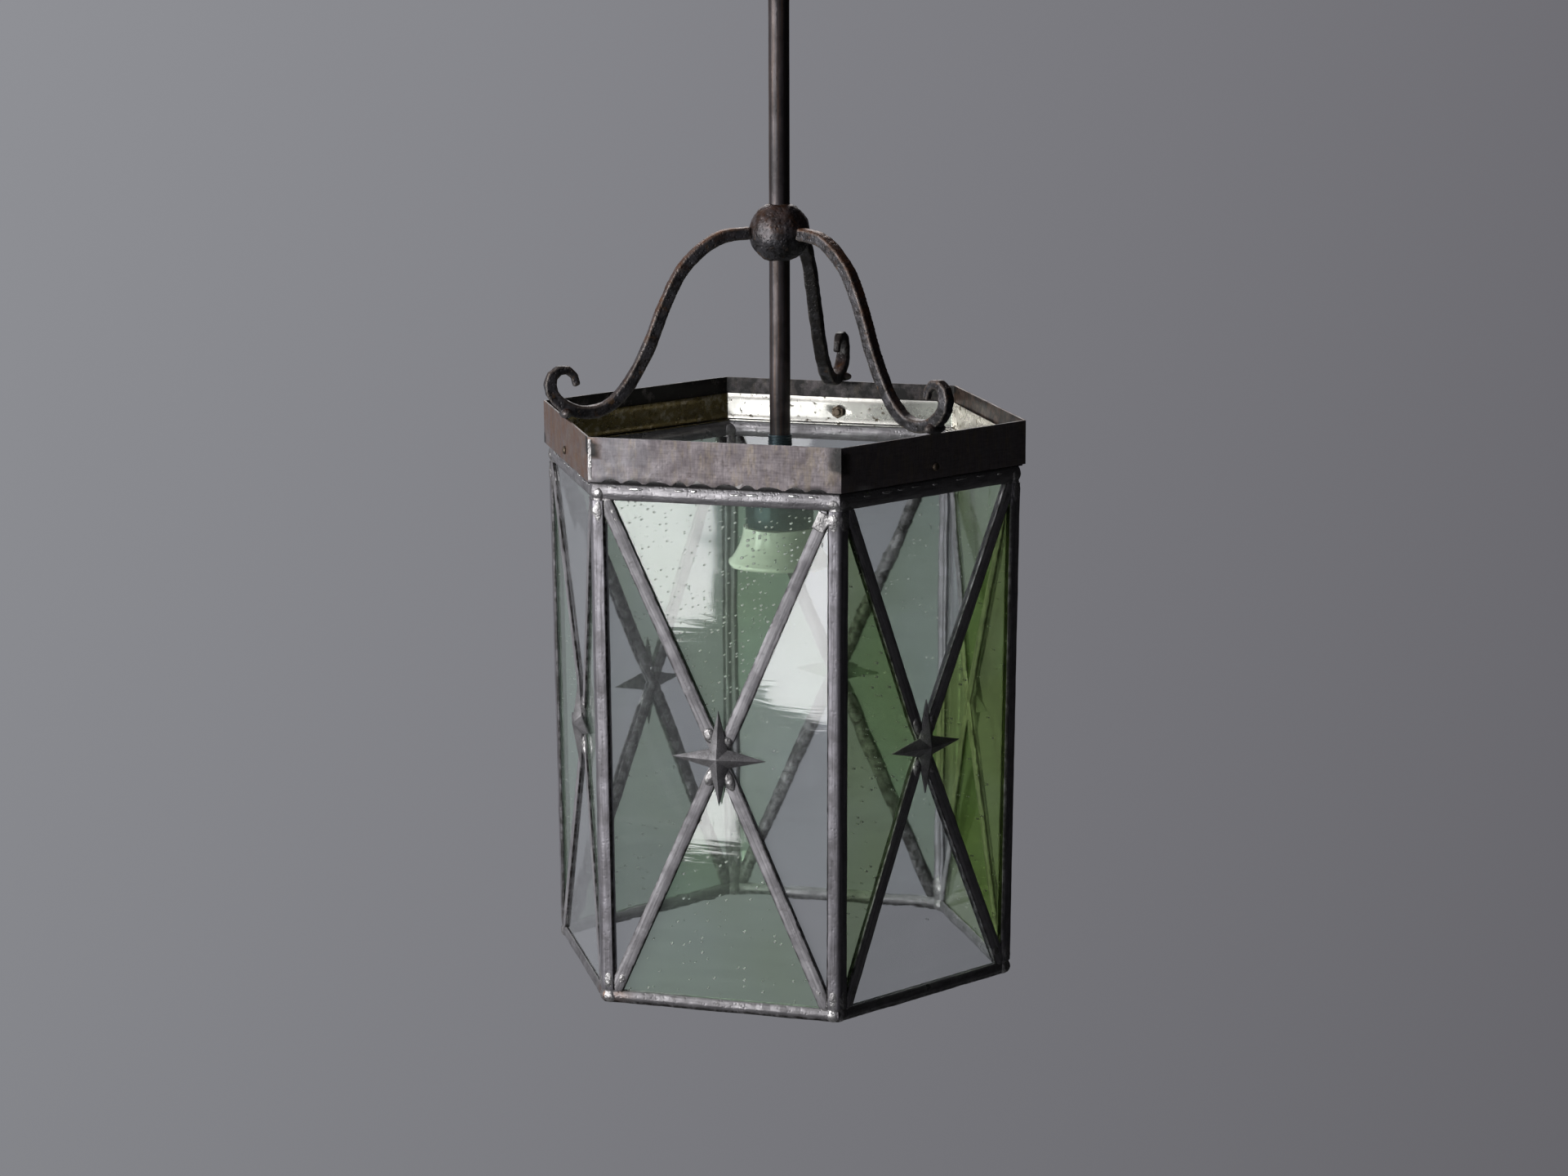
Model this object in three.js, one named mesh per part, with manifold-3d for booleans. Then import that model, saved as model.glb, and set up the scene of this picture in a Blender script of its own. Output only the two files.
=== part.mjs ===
// A hanging hall lantern: a six-sided body of leaded glass under an open steel gallery band, carried
// by three forged scroll arms and a tube stem, with a porcelain lampholder inside.
// Millimetres, +Z up. The origin is the middle of the ceiling plate's top face, so all lies below it.
// Inside the lantern's own group, height 0 is the top edge of the gallery band.

import * as THREE from 'three';
import { mergeVertices } from 'three/addons/utils/BufferGeometryUtils.js';
import Module from 'manifold-3d';

const wasm = await Module();
wasm.setup();

// Clearances
const seatGap = 0.3; // between a piece and the neighbour that it seats on or in
const ringGap = 0.35; // between two rings that hang in each other

// Ceiling hook with its plate
const plateRadius = 32;
const plateThickness = 2.5;
const plateDome = 5;
const plateBossRadius = 9;
const hookBarRadius = 3;
const hookBowlRadius = 10;
const hookDrop = 52;
const hookShoulderHeight = 16;
const hookTipTurn = 200; // degrees from the bowl's near side round to its tip

// Loose link between the hook and the eye
const linkBarRadius = 2.5;
const linkInnerWidth = 13;
const linkInnerLength = 26;

// Eye on top of the stem, with a way for the cable through its collar
const eyeBarRadius = 3;
const eyeInnerRadius = 8;
const eyeCollarRadius = 8;
const eyeCollarHeight = 6;
const eyePlugLength = 14;
const cableWayRadius = 3.2;

// Stem and its knop
const stemRadius = 6;
const stemBoreRadius = 4.5;
const stemAboveBand = 244;
const stemBelowBand = 20.4;
const knopRadius = 17.5;
const knopHeight = 103.1;

// Gallery band, the folded collar that carries the glass body
const bandStandOff = 0.95; // from the glass body's skin out to the band's inner face
const bandHeight = 25;
const bandSheet = 1.2;
const scallopWidth = 11.6;
const scallopRise = 2.6;
const scallopPitch = 13.2;
const scallopCount = 10;

// Tinned collar inside the band, bolted to it and soldered to the body
const collarSheet = 0.8;
const collarTopDepth = 9.7;
const collarFlange = 5;

// Bolts through band and collar
const boltDepth = 18.5;
const boltRadius = 2;
const boltHeadRadius = 4.2;
const boltHeadHeight = 2.4;
const nutAcrossFlats = 7;
const nutThickness = 3.2;
const boltTail = 1.4;

// Scroll arms, square bar
const armBar = 6;
const armTipShare = 0.5;
const armFootInset = 11;
const armFootHeight = 2.8;
const weldHalfLength = 7;
const weldHalfWidth = 3.2;
const weldHalfHeight = 2.7;

// Glass body
const bodyTopAcrossFlats = 248.6;
const bodyBottomAcrossFlats = 242.4;
const bodyGapBelowBand = 1.4;
const bodyHeight = 300.6;
const glassThickness = 3;
const panelDish = 4; // how far each panel has sunk inward at its crossing

// Leads: the came that holds the glass, and the rails and posts round each panel
const cameDepth = 7;
const cameWidth = 6.4;
const cameHeart = 1.2;
const cameCrown = 1.4;
const topRailHeight = 9;
const bottomRailHeight = 7.3;
const railGroove = 4.5;
const postWidth = 7.3;
const postGroove = 3.3;
const postNose = 3;

// Star soldered over each crossing
const starReach = 27.5;
const starWaist = 7.6;
const starEdge = 1;
const starRise = 5.6;

// Lampholder
const capNeckRadius = 8;
const capNeckTopDepth = 14;
const capShoulderDepth = 40;
const capRadius = 20;
const capHeight = 27.5;
const capWall = 1.5;
const capCorner = 2;
const shellInnerRadius = 13.2;
const shellWall = 1;
const shellLength = 26;
const shellThreadDepth = 0.5;
const shellThreadPitch = 3.6;
const shellThreads = 5;
const insulatorThickness = 4;
const skirtNeckHeight = 9.8;
const skirtShoulderRadius = 21.5;
const skirtRimRadius = 30;
const skirtHeight = 23.2;
const skirtWall = 3.4;
const contactRadius = 4;

// Facet counts of round pieces
const coarseFacets = 16;
const fineFacets = 24;

// Sizes that follow from the ones above
const sides = 6;
const halfSide = Math.PI / sides; // half the angle that one side spans
const bandInner = bodyTopAcrossFlats / 2 + bandStandOff;
const bandOuter = bandInner + bandSheet;
const bandMiddle = bandOuter - bandSheet / 2;
const collarOuter = bandInner - seatGap;
const collarInner = collarOuter - collarSheet;
const bodyTop = -(bandHeight + bodyGapBelowBand);
const bodyBottom = bodyTop - bodyHeight;
const grooveWidth = glassThickness + 2 * seatGap;
const lip = (cameDepth - grooveWidth) / 2;
const openingTop = bodyTop - topRailHeight;
const openingBottom = bodyBottom + bottomRailHeight;
const skinLean = (bodyTopAcrossFlats - bodyBottomAcrossFlats) / 2 / bodyHeight;
const skinAtZero = bodyTopAcrossFlats / 2 - skinLean * bodyTop;
const skin = (height) => skinAtZero + skinLean * height;

const saddleHeight = -hookDrop;
const linkRingRadius = linkInnerWidth / 2 + linkBarRadius;
const linkTop = saddleHeight + hookBarRadius + ringGap + linkBarRadius;
const linkBottom = linkTop - linkInnerLength - 2 * linkBarRadius;
const eyeRingRadius = eyeInnerRadius + eyeBarRadius;
const eyeMiddle = linkBottom + linkBarRadius + ringGap - eyeInnerRadius;
const eyeCollarTop = eyeMiddle - eyeRingRadius;
const eyeCollarBottom = eyeCollarTop - eyeCollarHeight;
const bandTop = eyeCollarBottom - seatGap - stemAboveBand;

// Returns the geometry as one closed shell: shared corners merged, slivers dropped, faces out.
function closedShell(source) {
  const bare = source.clone();
  bare.deleteAttribute('normal');
  bare.deleteAttribute('uv');
  const merged = mergeVertices(bare, 1e-4);
  const position = merged.attributes.position;
  const corner = (i) => new THREE.Vector3().fromBufferAttribute(position, i);
  const kept = [];
  let volume = 0;
  for (let i = 0; i < merged.index.count; i += 3) {
    const [a, b, c] = [0, 1, 2].map((k) => merged.index.getX(i + k));
    if (a === b || b === c || c === a) continue;
    kept.push([a, b, c]);
    volume += corner(a).dot(corner(b).cross(corner(c)));
  }
  const shell = new THREE.BufferGeometry();
  shell.setAttribute('position', position.clone());
  shell.setIndex(kept.flatMap(([a, b, c]) => (volume > 0 ? [a, b, c] : [a, c, b])));
  return shell;
}

function toSolid(geometry) {
  const shell = closedShell(geometry);
  return new wasm.Manifold(new wasm.Mesh({
    numProp: 3,
    vertProperties: new Float32Array(shell.attributes.position.array),
    triVerts: new Uint32Array(shell.index.array),
  }));
}

function toGeometry(solid) {
  const mesh = solid.getMesh();
  const geometry = new THREE.BufferGeometry();
  geometry.setAttribute('position', new THREE.BufferAttribute(mesh.vertProperties, 3));
  geometry.setIndex(new THREE.BufferAttribute(mesh.triVerts, 1));
  return geometry;
}

const joined = (...pieces) => pieces.map(toSolid).reduce((whole, piece) => whole.add(piece));
const drilled = (solid, ...tools) => tools.map(toSolid).reduce((left, tool) => left.subtract(tool), solid);

// A turned piece: the profile is a list of [radius, height] points, on the axis at both ends or a loop.
function turned(profile, facets, loop = false) {
  const points = profile.map(([radius, height]) => new THREE.Vector2(radius, height));
  if (loop) points.push(points[0].clone());
  return closedShell(new THREE.LatheGeometry(points, facets).rotateX(Math.PI / 2));
}

// A mitred six-sided ring with corners at 0, 60 ... degrees: the profile is [distance to a flat, height].
function hexRing(profile) {
  const points = profile.map(([flat, height]) => new THREE.Vector2(flat / Math.cos(halfSide), height));
  points.push(points[0].clone());
  return closedShell(new THREE.LatheGeometry(points, sides, halfSide).rotateX(Math.PI / 2));
}

// A straight bar of round section along X, from one distance to another, at a height.
function roundBarAlongX(radius, from, to, height, facets) {
  const bar = new THREE.CylinderGeometry(radius, radius, to - from, facets);
  return bar.rotateZ(Math.PI / 2).translate((from + to) / 2, 0, height);
}

function outline(points) {
  return new THREE.Shape(points.map(([x, y]) => new THREE.Vector2(x, y)));
}

function extruded(points, depth) {
  return new THREE.ExtrudeGeometry(outline(points), { depth, bevelEnabled: false });
}

// Depth of a rounded lead below its crown, at a share of its width.
const crownDip = (share) => cameCrown * (1 - Math.sin(Math.PI * share));

// Panel drawings are made in (across, height, outward from the skin) and then leaned onto the face.
const ontoFace = new THREE.Matrix4().set(0, skinLean, 1, skinAtZero, 1, 0, 0, 0, 0, 1, 0, 0, 0, 0, 0, 1);
const ontoCorner = new THREE.Matrix4().set(
  1, 0, skinLean / Math.cos(halfSide), skinAtZero / Math.cos(halfSide),
  0, 1, 0, 0, 0, 0, 1, 0, 0, 0, 0, 1);

// Ceiling hook: a domed plate with a round bar that turns into an open bowl.
function ceilingHook() {
  const plate = turned([
    [0, 0], [plateRadius, 0], [plateRadius, -plateThickness],
    [THREE.MathUtils.lerp(plateRadius, plateBossRadius, 0.25), -plateThickness - 0.4 * plateDome],
    [THREE.MathUtils.lerp(plateRadius, plateBossRadius, 0.7), -plateThickness - 0.8 * plateDome],
    [plateBossRadius, -plateThickness - plateDome], [0, -plateThickness - plateDome],
  ], fineFacets);
  const bowlMiddle = saddleHeight + hookBowlRadius;
  const route = [
    new THREE.Vector3(0, 0, -plateThickness),
    new THREE.Vector3(0, 0, bowlMiddle + hookShoulderHeight + hookBowlRadius),
    new THREE.Vector3(0.45 * hookBowlRadius, 0, bowlMiddle + hookShoulderHeight),
  ];
  for (let degrees = 10; degrees >= -hookTipTurn; degrees -= 30) {
    const angle = THREE.MathUtils.degToRad(degrees);
    route.push(new THREE.Vector3(Math.cos(angle), 0, Math.sin(angle)).multiplyScalar(hookBowlRadius)
      .add(new THREE.Vector3(0, 0, bowlMiddle)));
  }
  const section = new THREE.Shape().absarc(0, 0, hookBarRadius, 0, 2 * Math.PI);
  const bar = new THREE.ExtrudeGeometry(section, {
    extrudePath: new THREE.CatmullRomCurve3(route), steps: 36, curveSegments: 5, bevelEnabled: false,
  });
  return toGeometry(joined(plate, bar));
}

// Suspension link: a ring whose halves are drawn apart into an oval, in the YZ plane.
function suspensionLink() {
  const turns = 20;
  const ring = new THREE.TorusGeometry(linkRingRadius, linkBarRadius, 8, turns).rotateZ(Math.PI / turns);
  const stretch = (linkTop - linkBottom) / 2 - linkRingRadius;
  const position = ring.attributes.position;
  for (let i = 0; i < position.count; i += 1) {
    position.setY(i, position.getY(i) + Math.sign(position.getY(i)) * stretch);
  }
  return closedShell(ring.rotateX(Math.PI / 2).rotateZ(Math.PI / 2).translate(0, 0, (linkTop + linkBottom) / 2));
}

// Eye: a ring in the XZ plane on a collar, with a plug that seats in the stem's bore.
function hangingEye() {
  const ring = new THREE.TorusGeometry(eyeRingRadius, eyeBarRadius, 8, fineFacets)
    .rotateX(Math.PI / 2).translate(0, 0, eyeMiddle);
  const plugRadius = stemBoreRadius - seatGap;
  const collar = turned([
    [0, eyeCollarTop + 1], [eyeCollarRadius - 2, eyeCollarTop + 1], [eyeCollarRadius, eyeCollarTop - 1],
    [eyeCollarRadius, eyeCollarBottom], [plugRadius, eyeCollarBottom],
    [plugRadius, eyeCollarBottom - eyePlugLength], [0, eyeCollarBottom - eyePlugLength],
  ], coarseFacets);
  const wayTop = eyeMiddle;
  const wayBottom = eyeCollarBottom - eyePlugLength - 1;
  const way = turned([[0, wayBottom], [cableWayRadius, wayBottom], [cableWayRadius, wayTop], [0, wayTop]],
    coarseFacets);
  return toGeometry(drilled(joined(ring, collar), way));
}

function stemTube() {
  return turned([
    [stemBoreRadius, -stemBelowBand], [stemRadius, -stemBelowBand],
    [stemRadius, stemAboveBand], [stemBoreRadius, stemAboveBand],
  ], fineFacets, true);
}

// Knop: a ball with the stem's bore through it.
function knop() {
  const bore = stemRadius + seatGap;
  const start = Math.acos(bore / knopRadius);
  const arc = 12;
  const profile = [];
  for (let i = 0; i <= arc; i += 1) {
    const angle = start * (2 * i / arc - 1);
    profile.push([knopRadius * Math.cos(angle), knopHeight + knopRadius * Math.sin(angle)]);
  }
  return turned(profile, fineFacets, true);
}

// Scroll arm in the XZ plane: it springs from the knop, sweeps down to the band and curls up beyond it.
function scrollArm() {
  const root = new THREE.Vector2(knopRadius + seatGap, knopHeight);
  const foot = new THREE.Vector2(bandMiddle - armFootInset, armFootHeight);
  const sweep = [[0, 0], [0.177, 0.022], [0.38, 0.17], [0.512, 0.398], [0.616, 0.645], [0.748, 0.869],
    [0.871, 0.975]];
  const curl = [[0, 0], [11.2, 3.6], [18.9, 12], [18.6, 21.4], [12.2, 25.4], [6.2, 22], [4.4, 16.4]];
  const route = sweep.map(([out, down]) => new THREE.Vector3(
    THREE.MathUtils.lerp(root.x, foot.x, out), 0, THREE.MathUtils.lerp(root.y, foot.y, down)));
  route.push(...curl.map(([out, up]) => new THREE.Vector3(foot.x + out, 0, foot.y + up)));
  const path = new THREE.CatmullRomCurve3(route);
  const steps = 40;
  const half = armBar / 2;
  const bar = new THREE.ExtrudeGeometry(outline([[-half, -half], [half, -half], [half, half], [-half, half]]),
    { extrudePath: path, steps, bevelEnabled: false });
  drawDown(bar, path.getSpacedPoints(steps), 0.86);
  const weld = new THREE.SphereGeometry(1, 12, 8).scale(weldHalfWidth, weldHalfLength, weldHalfHeight)
    .translate(bandMiddle, 0, seatGap + weldHalfHeight);
  return toGeometry(joined(bar, weld));
}

// Tapers a swept bar towards its tip, from a share of its length on.
function drawDown(bar, middles, from) {
  const position = bar.attributes.position;
  const point = new THREE.Vector3();
  for (let i = 0; i < position.count; i += 1) {
    point.fromBufferAttribute(position, i);
    const distances = middles.map((middle) => middle.distanceToSquared(point));
    const nearest = distances.indexOf(Math.min(...distances));
    const along = THREE.MathUtils.smoothstep(nearest / (middles.length - 1), from, 1);
    const size = THREE.MathUtils.lerp(1, armTipShare, along);
    point.sub(middles[nearest]).multiplyScalar(size).add(middles[nearest]);
    position.setXYZ(i, point.x, point.y, point.z);
  }
}

// Faces that carry an arm and a bolt, counted round from the front
const armFaces = [1, 3, 5];
const faceAngle = (face) => (face * 2 - 3) * halfSide;
const cornerAngle = (corner) => (corner - 1) * 2 * halfSide;

// Clearance holes for the bolts through the band and the collar.
function boltHoles() {
  return armFaces.map((face) => roundBarAlongX(
    boltRadius + seatGap, collarInner - nutThickness, bandOuter + boltHeadHeight, -boltDepth, coarseFacets)
    .rotateZ(faceAngle(face)));
}

// Gallery band with a row of shallow scallops along the lower edge of the front face.
function galleryBand() {
  const ring = hexRing([[bandInner, -bandHeight], [bandOuter, -bandHeight], [bandOuter, 0], [bandInner, 0]]);
  const radius = (scallopWidth ** 2 / 4 + scallopRise ** 2) / (2 * scallopRise);
  const scallops = [];
  for (let i = 0; i < scallopCount; i += 1) {
    const across = (i - (scallopCount - 1) / 2) * scallopPitch;
    scallops.push(roundBarAlongX(radius, bandInner - 1, bandOuter + 1,
      scallopRise - bandHeight - radius, fineFacets)
      .translate(0, across, 0).rotateZ(faceAngle(0)));
  }
  return toGeometry(drilled(toSolid(ring), ...boltHoles(), ...scallops));
}

function tinCollar() {
  const foot = bodyTop + seatGap;
  const ring = hexRing([
    [collarOuter, foot], [collarOuter, -collarTopDepth], [collarInner, -collarTopDepth],
    [collarInner, foot + collarSheet], [collarInner - collarFlange, foot + collarSheet],
    [collarInner - collarFlange, foot],
  ]);
  return toGeometry(drilled(toSolid(ring), ...boltHoles()));
}

// Bolt along X: domed head outside the band, hexagon nut inside the collar.
function galleryBolt() {
  const headFoot = bandOuter + seatGap;
  const nutFace = collarInner - seatGap;
  const tail = nutFace - nutThickness - boltTail;
  const screw = turned([
    [0, tail], [boltRadius, tail], [boltRadius, headFoot], [boltHeadRadius, headFoot],
    [boltHeadRadius, headFoot + 0.3 * boltHeadHeight], [0.75 * boltHeadRadius, headFoot + 0.8 * boltHeadHeight],
    [0.4 * boltHeadRadius, headFoot + boltHeadHeight], [0, headFoot + boltHeadHeight],
  ], coarseFacets).rotateY(Math.PI / 2).translate(0, 0, -boltDepth);
  const nut = roundBarAlongX(nutAcrossFlats / 2 / Math.cos(halfSide), nutFace - nutThickness, nutFace,
    -boltDepth, sides);
  return toGeometry(joined(screw, nut));
}

// Rail round the top or the bottom of the body: it is open, with a groove for the glass, at one height.
function rail(grooveHeight, closedHeight) {
  const rise = Math.sign(closedHeight - grooveHeight);
  const crownSteps = 6;
  const at = (depth, height) => [skin(height) - depth, height];
  const shares = Array.from({ length: crownSteps + 1 }, (_, i) => i / crownSteps);
  const heightAt = (share) => THREE.MathUtils.lerp(grooveHeight, closedHeight, share);
  const grooveEnd = grooveHeight + rise * railGroove;
  return hexRing([
    ...shares.map((share) => at(crownDip(share), heightAt(share))),
    ...shares.map((share) => at(cameDepth - crownDip(1 - share), heightAt(1 - share))),
    at(cameDepth - lip, grooveHeight), at(cameDepth - lip, grooveEnd),
    at(lip, grooveEnd), at(lip, grooveHeight),
  ]);
}

// Corner post: a rounded lead folded over the corner, with a groove for the glass at each edge.
function cornerPost() {
  const along = new THREE.Vector2(-Math.sin(halfSide), Math.cos(halfSide));
  const inward = new THREE.Vector2(-Math.cos(halfSide), -Math.sin(halfSide));
  const at = (side, run, depth) => {
    const point = along.clone().multiplyScalar(run).addScaledVector(inward, depth);
    return [point.x, side * point.y];
  };
  const edge = [[postWidth - 1, 0], [postWidth, 1], [postWidth, lip], [postWidth - postGroove, lip],
    [postWidth - postGroove, cameDepth - lip], [postWidth, cameDepth - lip], [postWidth, cameDepth - 1],
    [postWidth - 1, cameDepth]];
  const nose = [-1, -0.5, 0, 0.5, 1].map((share) => [
    postNose * (Math.cos(share * halfSide) - 1 / Math.cos(halfSide)), postNose * Math.sin(share * halfSide)]);
  const section = [
    ...nose,
    ...edge.map(([run, depth]) => at(1, run, depth)),
    [-cameDepth / Math.cos(halfSide), 0],
    ...edge.map(([run, depth]) => at(-1, run, depth)).reverse(),
  ];
  const length = openingTop - openingBottom - 2 * seatGap;
  return extruded(section, length).translate(0, 0, openingBottom + seatGap).applyMatrix4(ontoCorner);
}

// Half the clear width between the posts at a height, measured on the skin.
const openingHalf = (height) => skin(height) * Math.tan(halfSide) - postWidth;

// The two diagonals of a panel, from corner to corner of its opening, each with its upward normal.
function diagonals() {
  return [-1, 1].map((side) => {
    const start = new THREE.Vector2(side * openingHalf(openingTop), openingTop);
    const end = new THREE.Vector2(-side * openingHalf(openingBottom), openingBottom);
    const run = end.clone().sub(start);
    const normal = new THREE.Vector2(-side * Math.abs(run.y), Math.abs(run.x)).normalize();
    return { start, run, normal, offset: normal.dot(start) };
  });
}

function crossingHeight() {
  const [{ start, run }] = diagonals();
  return start.y - run.y * (start.x / run.x);
}

// How far inward a panel has sunk at a place: each pane lies in a plane that turns in its groove and
// meets the other three at the crossing.
function sag(across, height) {
  const middle = crossingHeight();
  const top = openingTop + railGroove / 2;
  const bottom = openingBottom - railGroove / 2;
  const side = (level) => openingHalf(level) + postGroove / 2;
  return panelDish * Math.min((top - height) / (top - middle), (height - bottom) / (middle - bottom),
    (side(height) - Math.abs(across)) / side(middle));
}

// Sinks a panel's piece, drawn in (across, height, outward), by the sag at each of its points.
function dished(geometry) {
  const position = geometry.attributes.position;
  for (let i = 0; i < position.count; i += 1) {
    position.setZ(i, position.getZ(i) - sag(position.getX(i), position.getY(i)));
  }
  return geometry;
}

// Section of a straight came: two rounded faces joined by a thin heart.
function cameSection() {
  const steps = 6;
  const half = cameWidth / 2;
  const shares = Array.from({ length: steps + 1 }, (_, i) => i / steps);
  const front = shares.map((share) => [half - share * cameWidth, -crownDip(share)]);
  const back = front.map(([across, out]) => [-across, -cameDepth - out]);
  const heart = cameHeart / 2;
  return [
    ...front, [-half, -lip], [-heart, -lip], [-heart, lip - cameDepth], [-half, lip - cameDepth],
    ...back, [half, lip - cameDepth], [heart, lip - cameDepth], [heart, -lip], [half, -lip],
  ];
}

// Crossed came of one panel, trimmed to the opening between the rails and the posts.
function crossCame() {
  const overrun = 3 * cameWidth;
  const strips = diagonals().map(({ start, run }) => {
    const way = run.clone().normalize();
    const basis = new THREE.Matrix4().makeBasis(new THREE.Vector3(-way.y, way.x, 0),
      new THREE.Vector3(0, 0, 1), new THREE.Vector3(way.x, way.y, 0));
    const first = start.clone().addScaledVector(way, -overrun);
    basis.setPosition(first.x, first.y, 0);
    return extruded(cameSection(), run.length() + 2 * overrun).applyMatrix4(basis);
  });
  const high = openingTop - seatGap;
  const low = openingBottom + seatGap;
  const window = extruded([
    [seatGap - openingHalf(low), low], [openingHalf(low) - seatGap, low],
    [openingHalf(high) - seatGap, high], [seatGap - openingHalf(high), high],
  ], 3 * cameDepth).translate(0, 0, -2 * cameDepth);
  return dished(toGeometry(joined(...strips).intersect(toSolid(window)))).applyMatrix4(ontoFace);
}

// Cuts a convex outline back to where normal . point is at most limit.
function trimmed(points, normal, limit) {
  const kept = [];
  points.forEach((point, i) => {
    const next = points[(i + 1) % points.length];
    const here = limit - normal.dot(point);
    const there = limit - normal.dot(next);
    if (here >= 0) kept.push(point);
    if (here * there < 0) kept.push(point.clone().lerp(next, here / (here - there)));
  });
  return kept;
}

// One pane: the quarter of the panel on the given sides of its two diagonals, out to the grooves' depth.
function pane(aboveFirst, aboveSecond) {
  const reach = bodyTopAcrossFlats;
  let points = [[-reach, -2 * reach], [reach, -2 * reach], [reach, reach], [-reach, reach]]
    .map(([x, y]) => new THREE.Vector2(x, y));
  const grooveInset = railGroove - seatGap;
  points = trimmed(points, new THREE.Vector2(0, 1), openingTop + grooveInset);
  points = trimmed(points, new THREE.Vector2(0, -1), -(openingBottom - grooveInset));
  for (const side of [-1, 1]) {
    const slope = new THREE.Vector2(side, -skinLean * Math.tan(halfSide));
    points = trimmed(points, slope, openingHalf(0) + postGroove - seatGap);
  }
  const heart = cameHeart / 2 + seatGap;
  diagonals().forEach(({ normal, offset }, i) => {
    const sense = [aboveFirst, aboveSecond][i] ? -1 : 1;
    points = trimmed(points, normal.clone().multiplyScalar(sense), sense * offset - heart);
  });
  const shape = points.map(({ x, y }) => [x, y]);
  const sheet = extruded(shape, glassThickness).translate(0, 0, -lip - seatGap - glassThickness);
  return dished(sheet).applyMatrix4(ontoFace);
}

const paneSides = { top: [true, true], bottom: [false, false], left: [false, true], right: [true, false] };

// Four-pointed star: an eight-sided turned cone whose odd corners are drawn in to the waist. It lies flat
// on the crossed cames, clear of where they rise again beyond its waist.
function star() {
  const corners = 8;
  const cone = turned([[0, 0], [1, 0], [1, starEdge], [0, starRise]], corners);
  const position = cone.attributes.position;
  for (let i = 0; i < position.count; i += 1) {
    const [x, y] = [position.getX(i), position.getY(i)];
    const odd = Math.round(Math.atan2(y, x) / (2 * Math.PI / corners)) % 2 !== 0;
    const size = odd ? starWaist : starReach;
    position.setXY(i, x * size, y * size);
  }
  const height = crossingHeight();
  const lift = new THREE.Matrix4().makeTranslation(0, height, seatGap - sag(0, height + starWaist));
  return cone.applyMatrix4(lift).applyMatrix4(ontoFace);
}

// Lampholder cap: a cup with a neck that takes the stem's end.
function lampholderCap() {
  const shoulder = -capShoulderDepth;
  const stemSeat = -stemBelowBand - seatGap;
  return turned([
    [stemRadius + seatGap, -capNeckTopDepth], [stemRadius + seatGap, stemSeat], [stemBoreRadius, stemSeat],
    [stemBoreRadius, shoulder - capWall], [capRadius - capWall - capCorner, shoulder - capWall],
    [capRadius - capWall, shoulder - capWall - capCorner], [capRadius - capWall, shoulder - capHeight],
    [capRadius, shoulder - capHeight], [capRadius, shoulder - capCorner], [capRadius - capCorner, shoulder],
    [capNeckRadius + 4, shoulder + 1.5], [capNeckRadius, shoulder + 6], [capNeckRadius, -capNeckTopDepth],
  ], fineFacets, true);
}

// Screw shell: an insulating disc under the cap's roof, the contact, and a rolled thread for the lamp.
function lampholderShell() {
  const top = -capShoulderDepth - capWall - seatGap;
  const disc = top - insulatorThickness;
  const end = disc - shellLength;
  const outer = shellInnerRadius + shellWall;
  const threads = Array.from({ length: 2 * shellThreads + 1 }, (_, i) => [
    i % 2 === 0 ? shellThreadDepth : 0, end + shellThreadPitch * (1 + i / 2)]);
  const discRadius = capRadius - capWall - seatGap;
  return turned([
    [0, top], [discRadius - capCorner, top], [discRadius, top - capCorner], [discRadius, disc], [outer, disc],
    ...threads.map(([dip, height]) => [outer - dip, height]).reverse(),
    [outer, end], [shellInnerRadius, end],
    ...threads.map(([dip, height]) => [shellInnerRadius - dip, height]),
    [shellInnerRadius, disc - shellWall], [contactRadius, disc - shellWall],
    [0.75 * contactRadius, disc - 3 * shellWall], [0, disc - 3 * shellWall],
  ], coarseFacets);
}

// Porcelain skirt: its neck seats in the cap round the shell, and it flares to a rounded rim.
function porcelainSkirt() {
  const shoulder = -capShoulderDepth - capHeight - seatGap;
  const neckTop = shoulder + skirtNeckHeight;
  const rim = shoulder - skirtHeight;
  const bore = shellInnerRadius + shellWall + seatGap;
  const flare = (share) => THREE.MathUtils.lerp(skirtShoulderRadius, skirtRimRadius, share);
  return turned([
    [bore, neckTop], [bore, shoulder - 2], [flare(0) - skirtWall, shoulder - 0.25 * skirtHeight],
    [flare(0.25) - skirtWall, shoulder - 0.55 * skirtHeight], [flare(0.7) - skirtWall, shoulder - 0.82 * skirtHeight],
    [skirtRimRadius - skirtWall, rim + 1], [skirtRimRadius - 1, rim], [skirtRimRadius, rim + 1],
    [skirtRimRadius, rim + 2.8], [flare(0.7), shoulder - 0.76 * skirtHeight],
    [flare(0.28), shoulder - 0.5 * skirtHeight], [flare(0.05), shoulder - 0.2 * skirtHeight],
    [skirtShoulderRadius, shoulder], [capRadius - capWall - seatGap, shoulder],
    [capRadius - capWall - seatGap, neckTop],
  ], fineFacets, true);
}

const finish = (color, roughness, metalness, opacity = 1) => () => new THREE.MeshStandardMaterial({
  color, roughness, metalness, opacity, transparent: opacity < 1,
});
const finishes = {
  forgedIron: finish(0x4a4648, 0.55, 0.85),
  bandSteel: finish(0x77716d, 0.5, 0.8),
  tin: finish(0xb9b4ac, 0.4, 0.9),
  lead: finish(0x8d8c90, 0.5, 0.8),
  starLead: finish(0x7f7e81, 0.6, 0.75),
  greenGlass: finish(0x8fae8f, 0.12, 0, 0.5),
  clearGlass: finish(0xdfe6e6, 0.08, 0, 0.3),
  cap: finish(0x4a4d4c, 0.5, 0.5),
  brass: finish(0xb08d4f, 0.35, 0.9),
  porcelain: finish(0xe4e6df, 0.2, 0),
  bolt: finish(0x8a857c, 0.45, 0.85),
};

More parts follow.
